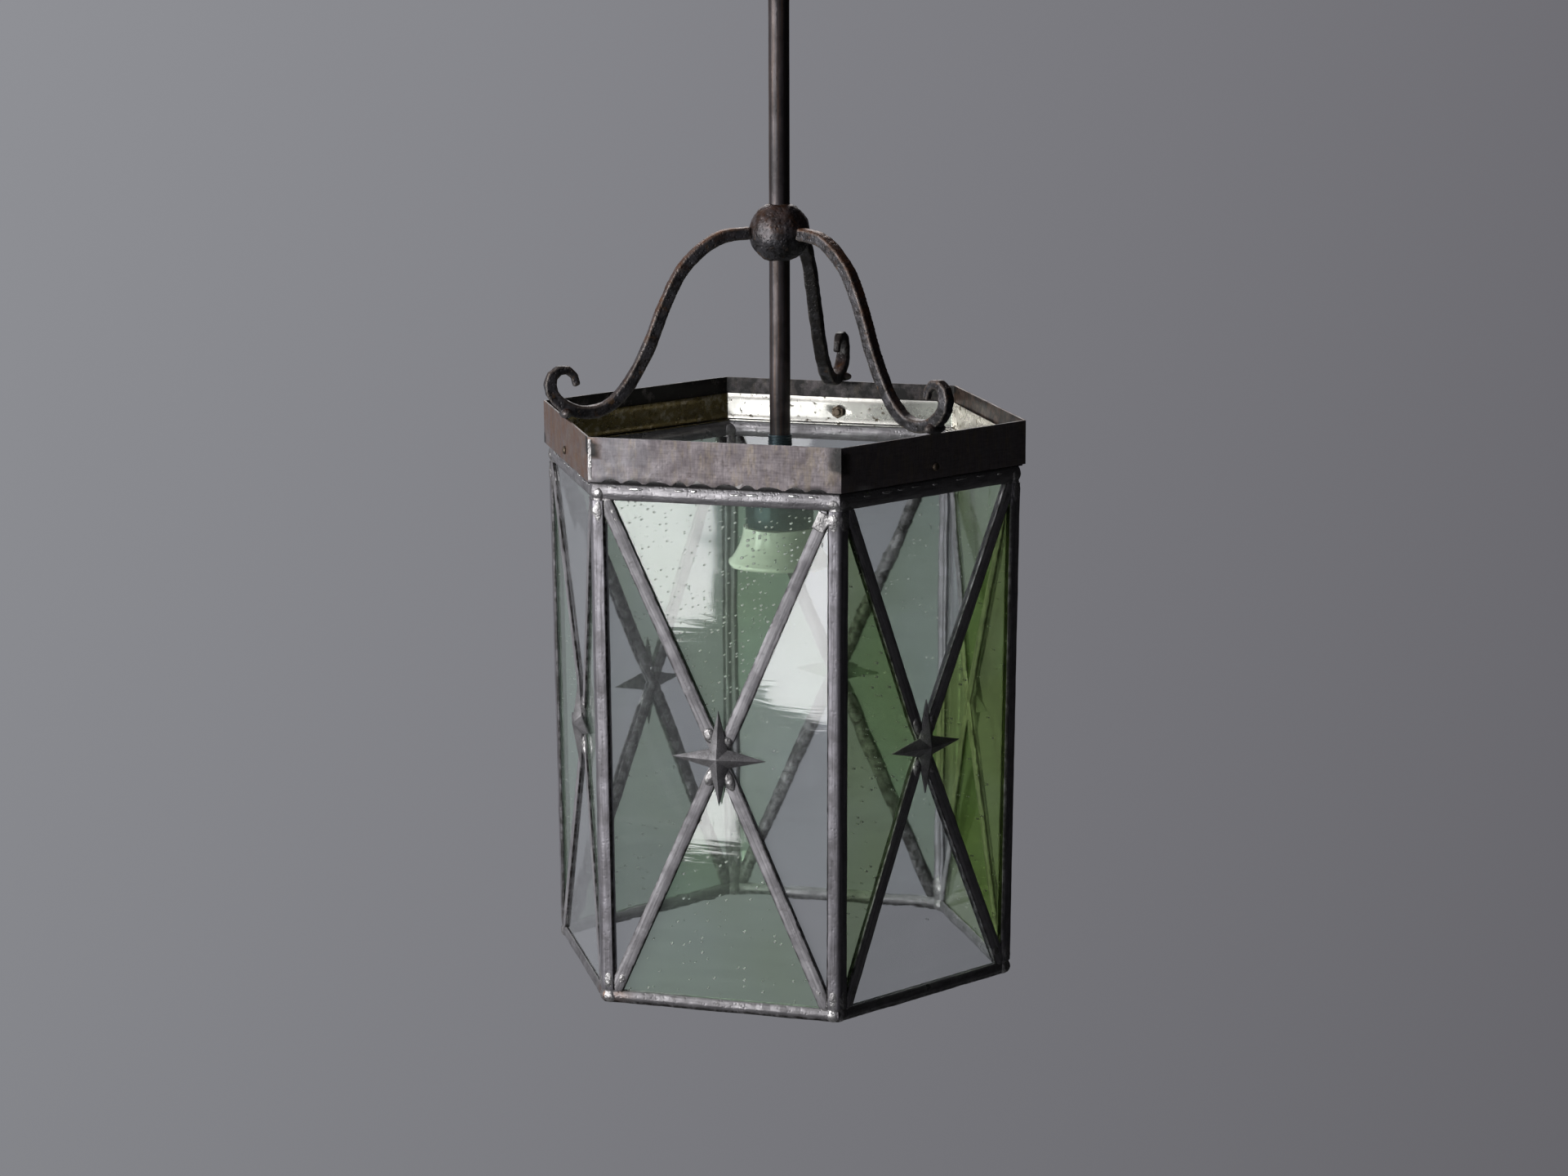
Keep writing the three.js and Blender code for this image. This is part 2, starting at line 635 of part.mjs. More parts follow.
function add(group, name, geometry, look) {
  const mesh = new THREE.Mesh(geometry, look());
  mesh.name = name;
  group.add(mesh);
}

function turnedGroup(parent, angle) {
  const group = new THREE.Group();
  group.rotation.z = angle;
  parent.add(group);
  return group;
}

const root = new THREE.Group();
add(root, 'ceiling_hook', ceilingHook(), finishes.forgedIron);
add(root, 'suspension_link', suspensionLink(), finishes.forgedIron);
add(root, 'hanging_eye', hangingEye(), finishes.forgedIron);

const lantern = new THREE.Group();
lantern.position.z = bandTop;
root.add(lantern);
add(lantern, 'stem', stemTube(), finishes.forgedIron);
add(lantern, 'knop', knop(), finishes.forgedIron);
add(lantern, 'gallery_band', galleryBand(), finishes.bandSteel);
add(lantern, 'tin_collar', tinCollar(), finishes.tin);
add(lantern, 'lampholder_cap', lampholderCap(), finishes.cap);
add(lantern, 'lampholder_shell', lampholderShell(), finishes.brass);
add(lantern, 'porcelain_skirt', porcelainSkirt(), finishes.porcelain);
add(lantern, 'top_rail', rail(openingTop, bodyTop), finishes.lead);
add(lantern, 'bottom_rail', rail(openingBottom, bodyBottom), finishes.lead);

const faceLetters = ['a', 'b', 'c', 'd', 'e', 'f'];
faceLetters.forEach((letter, face) => {
  const panel = turnedGroup(lantern, faceAngle(face));
  for (const [side, [aboveFirst, aboveSecond]] of Object.entries(paneSides)) {
    const green = (face % 2 === 0) === (aboveFirst === aboveSecond);
    add(panel, `pane_${letter}_${side}`, pane(aboveFirst, aboveSecond),
      green ? finishes.greenGlass : finishes.clearGlass);
  }
  add(panel, `cross_came_${letter}`, crossCame(), finishes.lead);
  add(panel, `star_${letter}`, star(), finishes.starLead);
  if (armFaces.includes(face)) {
    add(panel, `scroll_arm_${letter}`, scrollArm(), finishes.forgedIron);
    add(panel, `gallery_bolt_${letter}`, galleryBolt(), finishes.bolt);
  }
  const next = faceLetters[(face + 1) % sides];
  const corner = turnedGroup(lantern, cornerAngle(face));
  add(corner, `corner_post_${letter}${next}`, cornerPost(), finishes.lead);
});

export default root;
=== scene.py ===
"""Looks of a hanging hall lantern: a six-sided body of leaded glass under an open steel gallery.

Forged scroll arms and a tube stem carry it from a hook and link, and a porcelain lampholder hangs inside.
Places are in metres, +Z up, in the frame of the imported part; sizes of detail are named in millimetres.
"""

import logging
import math
import random
from collections.abc import Callable, Iterator
from contextlib import contextmanager
from dataclasses import dataclass, replace
from enum import Enum
from functools import cache

import bpy
from mathutils import Matrix, Vector


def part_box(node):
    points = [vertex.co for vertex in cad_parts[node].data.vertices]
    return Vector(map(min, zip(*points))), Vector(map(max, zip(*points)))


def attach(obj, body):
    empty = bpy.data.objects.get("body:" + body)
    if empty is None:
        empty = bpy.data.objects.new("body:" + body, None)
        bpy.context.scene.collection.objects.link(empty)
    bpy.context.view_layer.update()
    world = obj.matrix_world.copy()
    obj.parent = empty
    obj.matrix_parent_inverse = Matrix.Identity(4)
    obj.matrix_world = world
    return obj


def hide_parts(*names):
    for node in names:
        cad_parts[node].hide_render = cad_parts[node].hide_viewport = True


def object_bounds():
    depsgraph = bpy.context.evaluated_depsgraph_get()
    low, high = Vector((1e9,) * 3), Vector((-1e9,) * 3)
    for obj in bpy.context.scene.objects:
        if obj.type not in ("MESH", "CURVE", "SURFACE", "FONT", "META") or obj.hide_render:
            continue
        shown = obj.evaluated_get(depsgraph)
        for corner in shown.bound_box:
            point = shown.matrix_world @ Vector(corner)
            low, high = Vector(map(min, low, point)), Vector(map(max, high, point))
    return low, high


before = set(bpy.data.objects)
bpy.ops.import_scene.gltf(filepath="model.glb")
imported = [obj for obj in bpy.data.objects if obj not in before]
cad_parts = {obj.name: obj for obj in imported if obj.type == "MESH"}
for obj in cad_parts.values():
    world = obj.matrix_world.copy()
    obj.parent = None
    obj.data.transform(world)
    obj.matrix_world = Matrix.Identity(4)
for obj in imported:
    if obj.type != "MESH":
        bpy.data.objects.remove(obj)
CAD_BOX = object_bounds()

log = logging.getLogger("lantern")

MM = 0.001
SIDES = 6
HALF_SIDE = math.pi / SIDES
UP = Vector((0, 0, 1))
LETTERS = "abcdef"
BODY = "lantern"


class Pattern(Enum):
    """Shapes of the lumps that a surface is given."""

    SWELL = "CLOUDS"
    HAMMER = "VORONOI"
    BLISTER = "STUCCI"


class Grain(Enum):
    """Where a metal's fine streaks run."""

    NONE = "none"
    UPRIGHT = "upright"
    LAID = "laid"
    RUBBED = "rubbed"


class Mark(Enum):
    """Marks of age, and painted light and shade, that are painted on a piece's points."""

    # This mark lays pale bloom on the steel, and a painted highlight on the rails' upward faces.
    BLOOM = "bloom"
    RUST = "rust"
    # This mark lays dark grime, and painted shade and painted shadow lines where parts sit in shade.
    SCORCH = "scorch"


def linear(code: str) -> tuple[float, float, float, float]:
    """Turns an sRGB hex colour to linear.

    Args:
        code: six hex digits after a hash.

    Returns:
        Red, green, blue and a full alpha, linear.
    """
    parts = [int(code[i:i + 2], 16) / 255 for i in (1, 3, 5)]
    return (*(p / 12.92 if p <= 0.04045 else ((p + 0.055) / 1.055) ** 2.4 for p in parts), 1.0)


def add_node(tree: bpy.types.NodeTree, kind: str, feeds: dict | None = None, **settings: object) -> bpy.types.Node:
    """Adds one shader node.

    Args:
        tree: the tree it goes into.
        kind: its type, without the leading ShaderNode.
        feeds: for each input, by name or number, a socket to link or a value to set.
        settings: the node's own attributes.

    Returns:
        The new node.
    """
    made = tree.nodes.new("ShaderNode" + kind)
    for name, value in settings.items():
        setattr(made, name, value)
    for key, value in (feeds or {}).items():
        if isinstance(value, bpy.types.NodeSocket):
            tree.links.new(value, made.inputs[key])
        else:
            made.inputs[key].default_value = value
    return made


@cache
def node_box(node: str) -> tuple[Vector, Vector]:
    """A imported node's lowest and highest corners."""
    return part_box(node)


def level(heading: float) -> Vector:
    """The level direction at a heading in degrees."""
    return Vector((math.cos(math.radians(heading)), math.sin(math.radians(heading)), 0))


class Work:
    """A mesh on the bench, shaped by Blender's own operators. Sizes here are in millimetres."""

    merge_distance = 1e-6
    flat_angle = math.radians(0.4)
    hair = 0.0003

    def __init__(self, shape: bpy.types.Object, name: str) -> None:
        """Takes a mesh object and names it."""
        self.shape = shape
        shape.name = shape.data.name = name

    @classmethod
    def on_node(cls, node: str, name: str) -> "Work":
        """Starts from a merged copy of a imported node's mesh.

        Args:
            node: the node's name.
            name: the new piece's name.

        Returns:
            The piece, with its flat faces whole.
        """
        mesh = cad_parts[node].data.copy()
        mesh.materials.clear()
        shape = bpy.data.objects.new(name, mesh)
        bpy.context.collection.objects.link(shape)
        work = cls(shape, name)
        with work.editing():
            bpy.ops.mesh.customdata_custom_splitnormals_clear()
            bpy.ops.mesh.remove_doubles(threshold=cls.merge_distance)
            bpy.ops.mesh.dissolve_limited(angle_limit=cls.flat_angle)
        return work

    def pick(self) -> None:
        """Makes this the only selected object."""
        bpy.ops.object.select_all(action="DESELECT")
        self.shape.select_set(True)
        bpy.context.view_layer.objects.active = self.shape

    @contextmanager
    def editing(self) -> Iterator[None]:
        """Opens edit mode with all selected, and closes it again."""
        self.pick()
        bpy.ops.object.mode_set(mode="EDIT")
        bpy.ops.mesh.select_all(action="SELECT")
        yield
        bpy.ops.object.mode_set(mode="OBJECT")

    def modify(self, kind: str, **settings: object) -> "Work":
        """Adds a modifier with its settings and applies it.

        Args:
            kind: the modifier's type.
            settings: its attributes.

        Returns:
            This piece.
        """
        self.pick()
        modifier = self.shape.modifiers.new(kind.lower(), kind)
        for name, value in settings.items():
            setattr(modifier, name, value)
        bpy.ops.object.modifier_apply(modifier=modifier.name)
        return self

    def slice(self, way: Vector, pitch: float) -> "Work":
        """Cuts the mesh across at an even pitch, so that it can bend.

        Args:
            way: the direction across which the cuts lie.
            pitch: distance between cuts, in millimetres.

        Returns:
            This piece.
        """
        way = way.normalized()
        runs = [way.dot(vertex.co) for vertex in self.shape.data.vertices]
        low, high = min(runs), max(runs)
        count = max(1, round((high - low) / (pitch * MM)))
        with self.editing():
            for i in range(1, count):
                bpy.ops.mesh.select_all(action="SELECT")
                bpy.ops.mesh.bisect(plane_co=way * (low + (high - low) * i / count), plane_no=way)
        return self

    def ease(self, width: float, angle: float = 35, segments: int = 2) -> "Work":
        """Rounds the edges that are sharper than an angle in degrees."""
        return self.modify("BEVEL", width=width * MM, segments=segments, limit_method="ANGLE",
                           angle_limit=math.radians(angle), use_clamp_overlap=True)

    def remesh(self, voxel: float, smoothing: int = 2) -> "Work":
        """Rebuilds the skin in even steps and smooths it, as filing does."""
        self.modify("REMESH", mode="VOXEL", voxel_size=voxel * MM)
        return self.modify("SMOOTH", factor=0.5, iterations=smoothing)

    def lump(self, pattern: Pattern, size: float, depth: float, middle: float = 0.5) -> "Work":
        """Moves the skin in and out in lumps of a size, to a depth."""
        return self.modify("DISPLACE", texture=lump_texture(pattern, size), texture_coords="LOCAL",
                           strength=depth * MM, mid_level=middle)

    def soften(self, levels: int = 2, sharp: float = 30, crease: float = 0.75) -> "Work":
        """Subdivides a turned or drawn shape, with its sharp edges held by creases.

        Args:
            levels: subdivision levels.
            sharp: edges sharper than this many degrees are creased.
            crease: how hard the crease holds.

        Returns:
            This piece.
        """
        with self.editing():
            bpy.ops.mesh.quads_convert_to_tris()
            bpy.ops.mesh.tris_convert_to_quads()
            bpy.ops.mesh.select_all(action="DESELECT")
            bpy.ops.mesh.edges_select_sharp(sharpness=math.radians(sharp))
            bpy.ops.transform.edge_crease(value=crease)
        return self.modify("SUBSURF", levels=levels, render_levels=levels)

    def join(self, *others: "Work") -> "Work":
        """Makes other pieces part of this mesh."""
        for other in others:
            other.shape.select_set(True)
        self.pick()
        for other in others:
            other.shape.select_set(True)
        bpy.ops.object.join()
        return self

    def seat(self) -> "Work":
        """Applies the object's place, so that it lies in the mesh."""
        self.pick()
        bpy.ops.object.transform_apply(location=True, rotation=True, scale=True)
        return self

    def trim(self) -> "Work":
        """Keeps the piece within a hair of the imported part's box, where a lump would stand out of it."""
        low, high = (corner + Vector((sign,) * 3) * self.hair for corner, sign in zip(CAD_BOX, (-1, 1)))
        corners = [Vector(corner) for corner in self.shape.bound_box]
        if any(c < a or c > b for corner in corners for c, a, b in zip(corner, low, high)):
            for vertex in self.shape.data.vertices:
                vertex.co = Vector(min(max(c, a), b) for c, a, b in zip(vertex.co, low, high))
        return self

    def lay(self, along: Callable[[Vector], Vector]) -> "Work":
        """Stores where each point lies along the drawn metal or the sheet of glass, for its streaks."""
        layer = self.shape.data.attributes.new("lie", "FLOAT_VECTOR", "POINT")
        layer.data.foreach_set("vector", [c for v in self.shape.data.vertices for c in along(v.co)])
        return self

    def paint(self, mark: "Mark", amount: Callable[[Vector, Vector], float]) -> "Work":
        """Stores how much of a mark of age each point has.

        Args:
            mark: which mark.
            amount: gives a share from 0 to 1 for a point and its normal.

        Returns:
            This piece.
        """
        layer = self.shape.data.attributes.new(mark.value, "FLOAT", "POINT")
        layer.data.foreach_set("value", [amount(v.co, v.normal) for v in self.shape.data.vertices])
        return self

    def dress(self, finish: "Finish", body: str, *nodes: str, angle: float = 35) -> bpy.types.Object:
        """Shades the piece, gives it its finish and its place in the frame.

        Args:
            finish: what it is made of.
            body: the body that it rides on.
            nodes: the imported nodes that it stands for.
            angle: edges sharper than this many degrees stay sharp.

        Returns:
            The finished object.
        """
        self.trim().pick()
        bpy.ops.object.shade_smooth_by_angle(angle=math.radians(angle))
        self.shape.data.materials.clear()
        self.shape.data.materials.append(finish.material())
        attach(self.shape, body)
        if nodes:
            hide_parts(*nodes)
        log.info("%-24s %6d faces", self.shape.name, len(self.shape.data.polygons))
        return self.shape


@cache
def lump_texture(pattern: Pattern, size: float) -> bpy.types.Texture:
    """The texture that displaces a skin in lumps of a size in millimetres."""
    texture = bpy.data.textures.new(f"{pattern.name.lower()}_{size}", pattern.value)
    texture.noise_scale = size * MM
    return texture


def start(kind: Callable[..., object], name: str, **settings: object) -> Work:
    """Adds a primitive by its operator and puts it on the bench."""
    bpy.ops.object.select_all(action="DESELECT")
    kind(**settings)
    return Work(bpy.context.object, name)


@dataclass(frozen=True)
class Finish:
    """What a piece is made of, and the record's slot for it."""

    name: str
    slot: str

    def material(self) -> bpy.types.Material:
        """The material, made at the first call."""
        made = bpy.data.materials.get(self.name)
        if made is None:
            made = bpy.data.materials.new(self.name)
            made.use_nodes = True
            made.node_tree.nodes.clear()
            add_node(made.node_tree, "OutputMaterial", {"Surface": self.surface(made.node_tree)})
        return made

    def surface(self, tree: bpy.types.NodeTree) -> bpy.types.NodeSocket:
        """The shader that the finish shows."""
        raise NotImplementedError


@dataclass(frozen=True)
class AgedMetal(Finish):
    """A worked metal with oxide in patches, stains, fine streaks and pits. Sizes are in millimetres."""

    clean: str
    oxide: str
    stain: str
    metallic: float
    smooth: float
    rough: float
    patch: float = 18
    patch_from: float = 0.4
    patch_full: float = 0.62
    stain_size: float = 9
    stain_from: float = 0.6
    stain_full: float = 0.72
    grain: Grain = Grain.NONE
    streak_width: float = 0.7
    streak_length: float = 22
    streak_depth: float = 0.05
    streak_shades: tuple[float, float] = (0.72, 1.18)
    pit: float = 3.2
    pit_depth: float = 0.12
    wear: str = ""
    wear_from: float = 0.53
    veil: str = ""
    veil_width: float = 3.5
    veil_length: float = 22
    veil_share: float = 0.5
    ragged: float = 0.25
    # The pale colour below serves for bloom and for painted highlights, the dark one for grime and for painted shade.
    bloom: str = "#A2A3A8"
    rust: str = "#7D5433"
    scorch: str = "#17120F"

    def surface(self, tree: bpy.types.NodeTree) -> bpy.types.NodeSocket:
        """Principled metal under patches, stains, streaks and pits, with painted highlight and painted shade where a
        piece's points are marked.
        """
        place = add_node(tree, "TexCoord").outputs["Object"]
        patches = add_node(tree, "TexNoise", {"Vector": place, "Scale": 1 / (self.patch * MM), "Detail": 7.0,
                                              "Roughness": 0.62, "Distortion": 0.4})
        oxide = add_node(tree, "MapRange", {"Value": patches.outputs["Fac"], "From Min": self.patch_from,
                                            "From Max": self.patch_full})
        moved = add_node(tree, "Mapping", {"Vector": place, "Location": (0.37, 0.11, 0.73)})
        spots = add_node(tree, "TexNoise", {"Vector": moved.outputs[0], "Scale": 1 / (self.stain_size * MM),
                                            "Detail": 9.0, "Roughness": 0.7})
        stain = add_node(tree, "MapRange", {"Value": spots.outputs["Fac"], "From Min": self.stain_from,
                                            "From Max": self.stain_full})
        fine = self.streaks(tree, place)
        colour = add_node(tree, "Mix", {0: oxide.outputs[0], 6: linear(self.clean), 7: linear(self.oxide)},
                          data_type="RGBA")
        colour = add_node(tree, "Mix", {0: stain.outputs[0], 6: colour.outputs[2], 7: linear(self.stain)},
                          data_type="RGBA")
        if self.veil:
            runs = add_node(tree, "MapRange", {"Value": self.veiling(tree, place), "From Min": 0.48,
                                               "From Max": 0.64, "To Max": self.veil_share})
            colour = add_node(tree, "Mix", {0: runs.outputs[0], 6: colour.outputs[2], 7: linear(self.veil)},
                              data_type="RGBA")
        shade = add_node(tree, "MapRange", {"Value": fine, "From Min": 0.32, "From Max": 0.68,
                                            "To Min": self.streak_shades[0], "To Max": self.streak_shades[1]})
        colour = add_node(tree, "Mix", {0: 1.0, 6: colour.outputs[2], 7: shade.outputs[0]}, data_type="RGBA",
                          blend_type="MULTIPLY")
        if self.wear:
            edges = add_node(tree, "NewGeometry").outputs["Pointiness"]
            worn = add_node(tree, "MapRange", {"Value": edges, "From Min": self.wear_from,
                                               "From Max": self.wear_from + 0.08})
            colour = add_node(tree, "Mix", {0: worn.outputs[0], 6: colour.outputs[2], 7: linear(self.wear)},
                              data_type="RGBA")
        ragged = add_node(tree, "MapRange", {"Value": spots.outputs["Fac"], "From Min": 0.36, "From Max": 0.58,
                                             "To Min": self.ragged, "To Max": 1.1})
        # Lays the pale colour for bloom and painted highlight, then the rust, then the dark colour for grime and
        # painted shade.
        for mark, shown in ((Mark.BLOOM, self.bloom), (Mark.RUST, self.rust), (Mark.SCORCH, self.scorch)):
            amount = add_node(tree, "Attribute", attribute_name=mark.value).outputs["Fac"]
            share = add_node(tree, "Math", {0: amount, 1: ragged.outputs[0]}, operation="MULTIPLY",
                             use_clamp=True)
            colour = add_node(tree, "Mix", {0: share.outputs[0], 6: colour.outputs[2], 7: linear(shown)},
                              data_type="RGBA")
        pits = add_node(tree, "TexVoronoi", {"Vector": place, "Scale": 1 / (self.pit * MM)})
        hollow = add_node(tree, "MapRange", {"Value": pits.outputs["Distance"], "From Min": 0.08,
                                             "From Max": 0.42}, interpolation_type="SMOOTHSTEP")
        relief = add_node(tree, "Bump", {"Height": fine, "Distance": self.streak_depth * MM, "Strength": 1.0})
        relief = add_node(tree, "Bump", {"Height": hollow.outputs[0], "Distance": self.pit_depth * MM,
                                         "Strength": 1.0, "Normal": relief.outputs[0]})
        relief = add_node(tree, "Bump", {"Height": spots.outputs["Fac"], "Distance": self.pit_depth * MM * 2,
                                         "Strength": 1.0, "Normal": relief.outputs[0]})
        dull = add_node(tree, "MapRange", {"Value": patches.outputs["Fac"], "From Min": 0.35, "From Max": 0.65,
                                           "To Min": self.smooth, "To Max": self.rough})
        dull = add_node(tree, "Mix", {0: stain.outputs[0], 2: dull.outputs[0], 3: 0.85})
        # Stains, grime and painted shade take the metal's metallic sheen away.
        stain_and_shade_share = add_node(tree, "Math", {0: stain.outputs[0], 1: share.outputs[0]}, operation="MAXIMUM")
        shine = add_node(tree, "MapRange", {"Value": stain_and_shade_share.outputs[0], "To Min": self.metallic, "To Max": 0.1})
        return add_node(tree, "BsdfPrincipled", {
            "Base Color": colour.outputs[2], "Metallic": shine.outputs[0], "Roughness": dull.outputs[0],
            "Normal": relief.outputs[0]}).outputs[0]

    def veiling(self, tree: bpy.types.NodeTree, place: bpy.types.NodeSocket) -> bpy.types.NodeSocket:
        """Noise in upright runs, where old wax has yellowed."""
        level_scale = 1 / (self.veil_width * MM)
        drawn = add_node(tree, "Mapping", {"Vector": place, "Location": (0.2, 0.5, 0.9),
                                           "Scale": (level_scale, level_scale, 1 / (self.veil_length * MM))})
        return add_node(tree, "TexNoise", {"Vector": drawn.outputs[0], "Scale": 1.0, "Detail": 5.0,
                                           "Roughness": 0.7}).outputs["Fac"]

    def streaks(self, tree: bpy.types.NodeTree, place: bpy.types.NodeSocket) -> bpy.types.NodeSocket:
        """Fine noise, drawn out the way that the metal was drawn or rubbed."""
        across, along = 1 / (self.streak_width * MM), 1 / (self.streak_length * MM)
        sizes = {Grain.NONE: [(across, across, across)], Grain.UPRIGHT: [(across, across, along)],
                 Grain.LAID: [(across, along, 1.0)],
                 Grain.RUBBED: [(across, along, 1.0), (along, across, 1.0)]}[self.grain]
        if self.grain in (Grain.LAID, Grain.RUBBED):
            place = add_node(tree, "Attribute", attribute_name="lie").outputs["Vector"]
        drawn = [add_node(tree, "Mapping", {"Vector": place, "Scale": size}).outputs[0] for size in sizes]
        noises = [add_node(tree, "TexNoise", {"Vector": way, "Scale": 1.0, "Detail": 3.0,
                                              "Roughness": 0.6}).outputs["Fac"] for way in drawn]
        if len(noises) == 1:
            return noises[0]
        return add_node(tree, "Mix", {0: 0.5, 2: noises[0], 3: noises[1]}).outputs[0]


@dataclass(frozen=True)
class SeededGlass(Finish):
    """Cast sheet glass with ripples, seeds and a tint that differs by pane. Sizes are in millimetres."""

    tint: str
    deep_tint: str
    seed_cell: float
    seed_share: float
    seed_radius: float
    dash_cell: float = 6.5
    dash_share: float = 0.25
    ripple: float = 45
    ripple_depth: float = 0.012
    clarity: float = 0.955
    seed_white: float = 0.75
    short_way: float = 0.12
    cord: float = 7
    cord_length: float = 70
    cord_depth: float = 0.02
    cord_shade: float = 0.07

    def surface(self, tree: bpy.types.NodeTree) -> bpy.types.NodeSocket:
        """Clear glass for sight, and a plain tint for the lamps' light and for what other gloss reflects."""
        lie = add_node(tree, "Attribute", attribute_name="lie").outputs["Vector"]
        depth = add_node(tree, "SeparateXYZ", {0: lie}).outputs["Z"]
        cloud = add_node(tree, "TexNoise", {"Vector": lie, "Scale": 14.0, "Detail": 2.0})
        cloud = add_node(tree, "MapRange", {"Value": cloud.outputs["Fac"], "From Min": 0.3, "From Max": 0.7,
                                            "To Min": -0.12, "To Max": 0.12})
        depth = add_node(tree, "Math", {0: depth, 1: cloud.outputs[0]}, operation="ADD", use_clamp=True)
        hue = add_node(tree, "Mix", {0: depth.outputs[0], 6: linear(self.tint), 7: linear(self.deep_tint)},
                       data_type="RGBA")
        slanting = add_node(tree, "Mapping", {"Vector": lie, "Rotation": (0, 0, math.radians(9)),
                                              "Scale": (1 / (self.cord_length * MM), 1 / (self.cord * MM), 1.0)})
        cords = add_node(tree, "TexNoise", {"Vector": slanting.outputs[0], "Scale": 1.0, "Detail": 3.0,
                                            "Distortion": 0.8})
        thick = add_node(tree, "MapRange", {"Value": cords.outputs["Fac"], "From Min": 0.3, "From Max": 0.7,
                                            "To Min": 1 - self.cord_shade, "To Max": 1.0})
        hue = add_node(tree, "Mix", {0: 1.0, 6: hue.outputs[2], 7: thick.outputs[0]}, data_type="RGBA",
                       blend_type="MULTIPLY")
        seedy = add_node(tree, "Attribute", attribute_name="seedy").outputs["Fac"]
        seed = self.bubbles(tree, lie, self.seed_cell, self.seed_share, self.seed_radius, seedy)
        slanted = add_node(tree, "Mapping", {"Vector": lie, "Rotation": (0, 0, math.radians(35)),
                                             "Scale": (1.0, 0.28, 1.0)})
        dash = self.bubbles(tree, slanted.outputs[0], self.dash_cell, self.dash_share, 0.45, seedy)
        waves = add_node(tree, "TexNoise", {"Vector": lie, "Scale": 1 / (self.ripple * MM), "Detail": 1.0})
        relief = add_node(tree, "Bump", {"Height": waves.outputs["Fac"], "Distance": self.ripple_depth * MM * 10,
                                         "Strength": 1.0})
        relief = add_node(tree, "Bump", {"Height": cords.outputs["Fac"], "Distance": self.cord_depth * MM,
                                         "Strength": 1.0, "Normal": relief.outputs[0]})
        for hollow, deep in ((seed, 0.5), (dash, 0.35)):
            relief = add_node(tree, "Bump", {"Height": hollow, "Distance": deep * MM, "Strength": 1.0,
                                             "Normal": relief.outputs[0]}, invert=True)
        pale = add_node(tree, "Mix", {0: seed, 6: hue.outputs[2], 7: linear("#F4F6F2")}, data_type="RGBA")
        clear = add_node(tree, "MapRange", {"Value": seed, "To Min": self.clarity,
                                            "To Max": 1 - self.seed_white})
        haze = add_node(tree, "MapRange", {"Value": seed, "To Min": 0.03, "To Max": 0.25})
        glass = add_node(tree, "BsdfPrincipled", {
            "Base Color": pale.outputs[2], "Roughness": haze.outputs[0], "IOR": 1.5,
            "Transmission Weight": clear.outputs[0], "Normal": relief.outputs[0]})
        once = add_node(tree, "Gamma", {"Color": hue.outputs[2], "Gamma": 0.3})
        light = add_node(tree, "BsdfTransparent", {"Color": once.outputs[0]})
        rays = add_node(tree, "LightPath").outputs
        second = add_node(tree, "Math", {0: rays["Is Glossy Ray"], 1: rays["Is Reflection Ray"]},
                          operation="MINIMUM")
        short = add_node(tree, "Math", {0: rays["Ray Length"], 1: self.short_way}, operation="LESS_THAN")
        plain = add_node(tree, "Math", {0: rays["Transmission Depth"], 1: 0.5}, operation="LESS_THAN")
        either = add_node(tree, "Math", {0: short.outputs[0], 1: plain.outputs[0]}, operation="MAXIMUM")
        second = add_node(tree, "Math", {0: second.outputs[0], 1: either.outputs[0]}, operation="MINIMUM")
        second = add_node(tree, "Math", {0: second.outputs[0], 1: rays["Is Shadow Ray"]}, operation="MAXIMUM")
        return add_node(tree, "MixShader", {0: second.outputs[0], 1: glass.outputs[0],
                                            2: light.outputs[0]}).outputs[0]

    def bubbles(self, tree: bpy.types.NodeTree, place: bpy.types.NodeSocket, cell: float, share: float,
                radius: float, seedy: bpy.types.NodeSocket) -> bpy.types.NodeSocket:
        """Round spots scattered in some of a pattern's cells, in different sizes.

        Args:
            tree: the glass's tree.
            place: where on the sheet.
            cell: mean distance between the cells.
            share: share of the cells that hold a bubble.
            radius: the largest bubble's radius.
            seedy: how far the pane comes up to that share, from 0 to 1.

        Returns:
            A mask, 1 in the middle of each bubble.
        """
        cells = add_node(tree, "TexVoronoi", {"Vector": place, "Scale": 1 / (cell * MM)},
                         voronoi_dimensions="2D")
        chosen = add_node(tree, "SeparateColor", {"Color": cells.outputs["Color"]})
        lowest = add_node(tree, "Math", {0: seedy, 1: -share, 2: 1.0}, operation="MULTIPLY_ADD")
        reach = add_node(tree, "MapRange", {"Value": chosen.outputs["Red"], "From Min": lowest.outputs[0],
                                            "From Max": 1.0, "To Min": 0.0, "To Max": radius / cell})
        inside = add_node(tree, "Math", {0: reach.outputs[0], 1: cells.outputs["Distance"]},
                          operation="SUBTRACT")
        return add_node(tree, "MapRange", {"Value": inside.outputs[0], "From Min": 0.0,
                                           "From Max": 0.5 * radius / cell},
                        interpolation_type="SMOOTHSTEP").outputs[0]


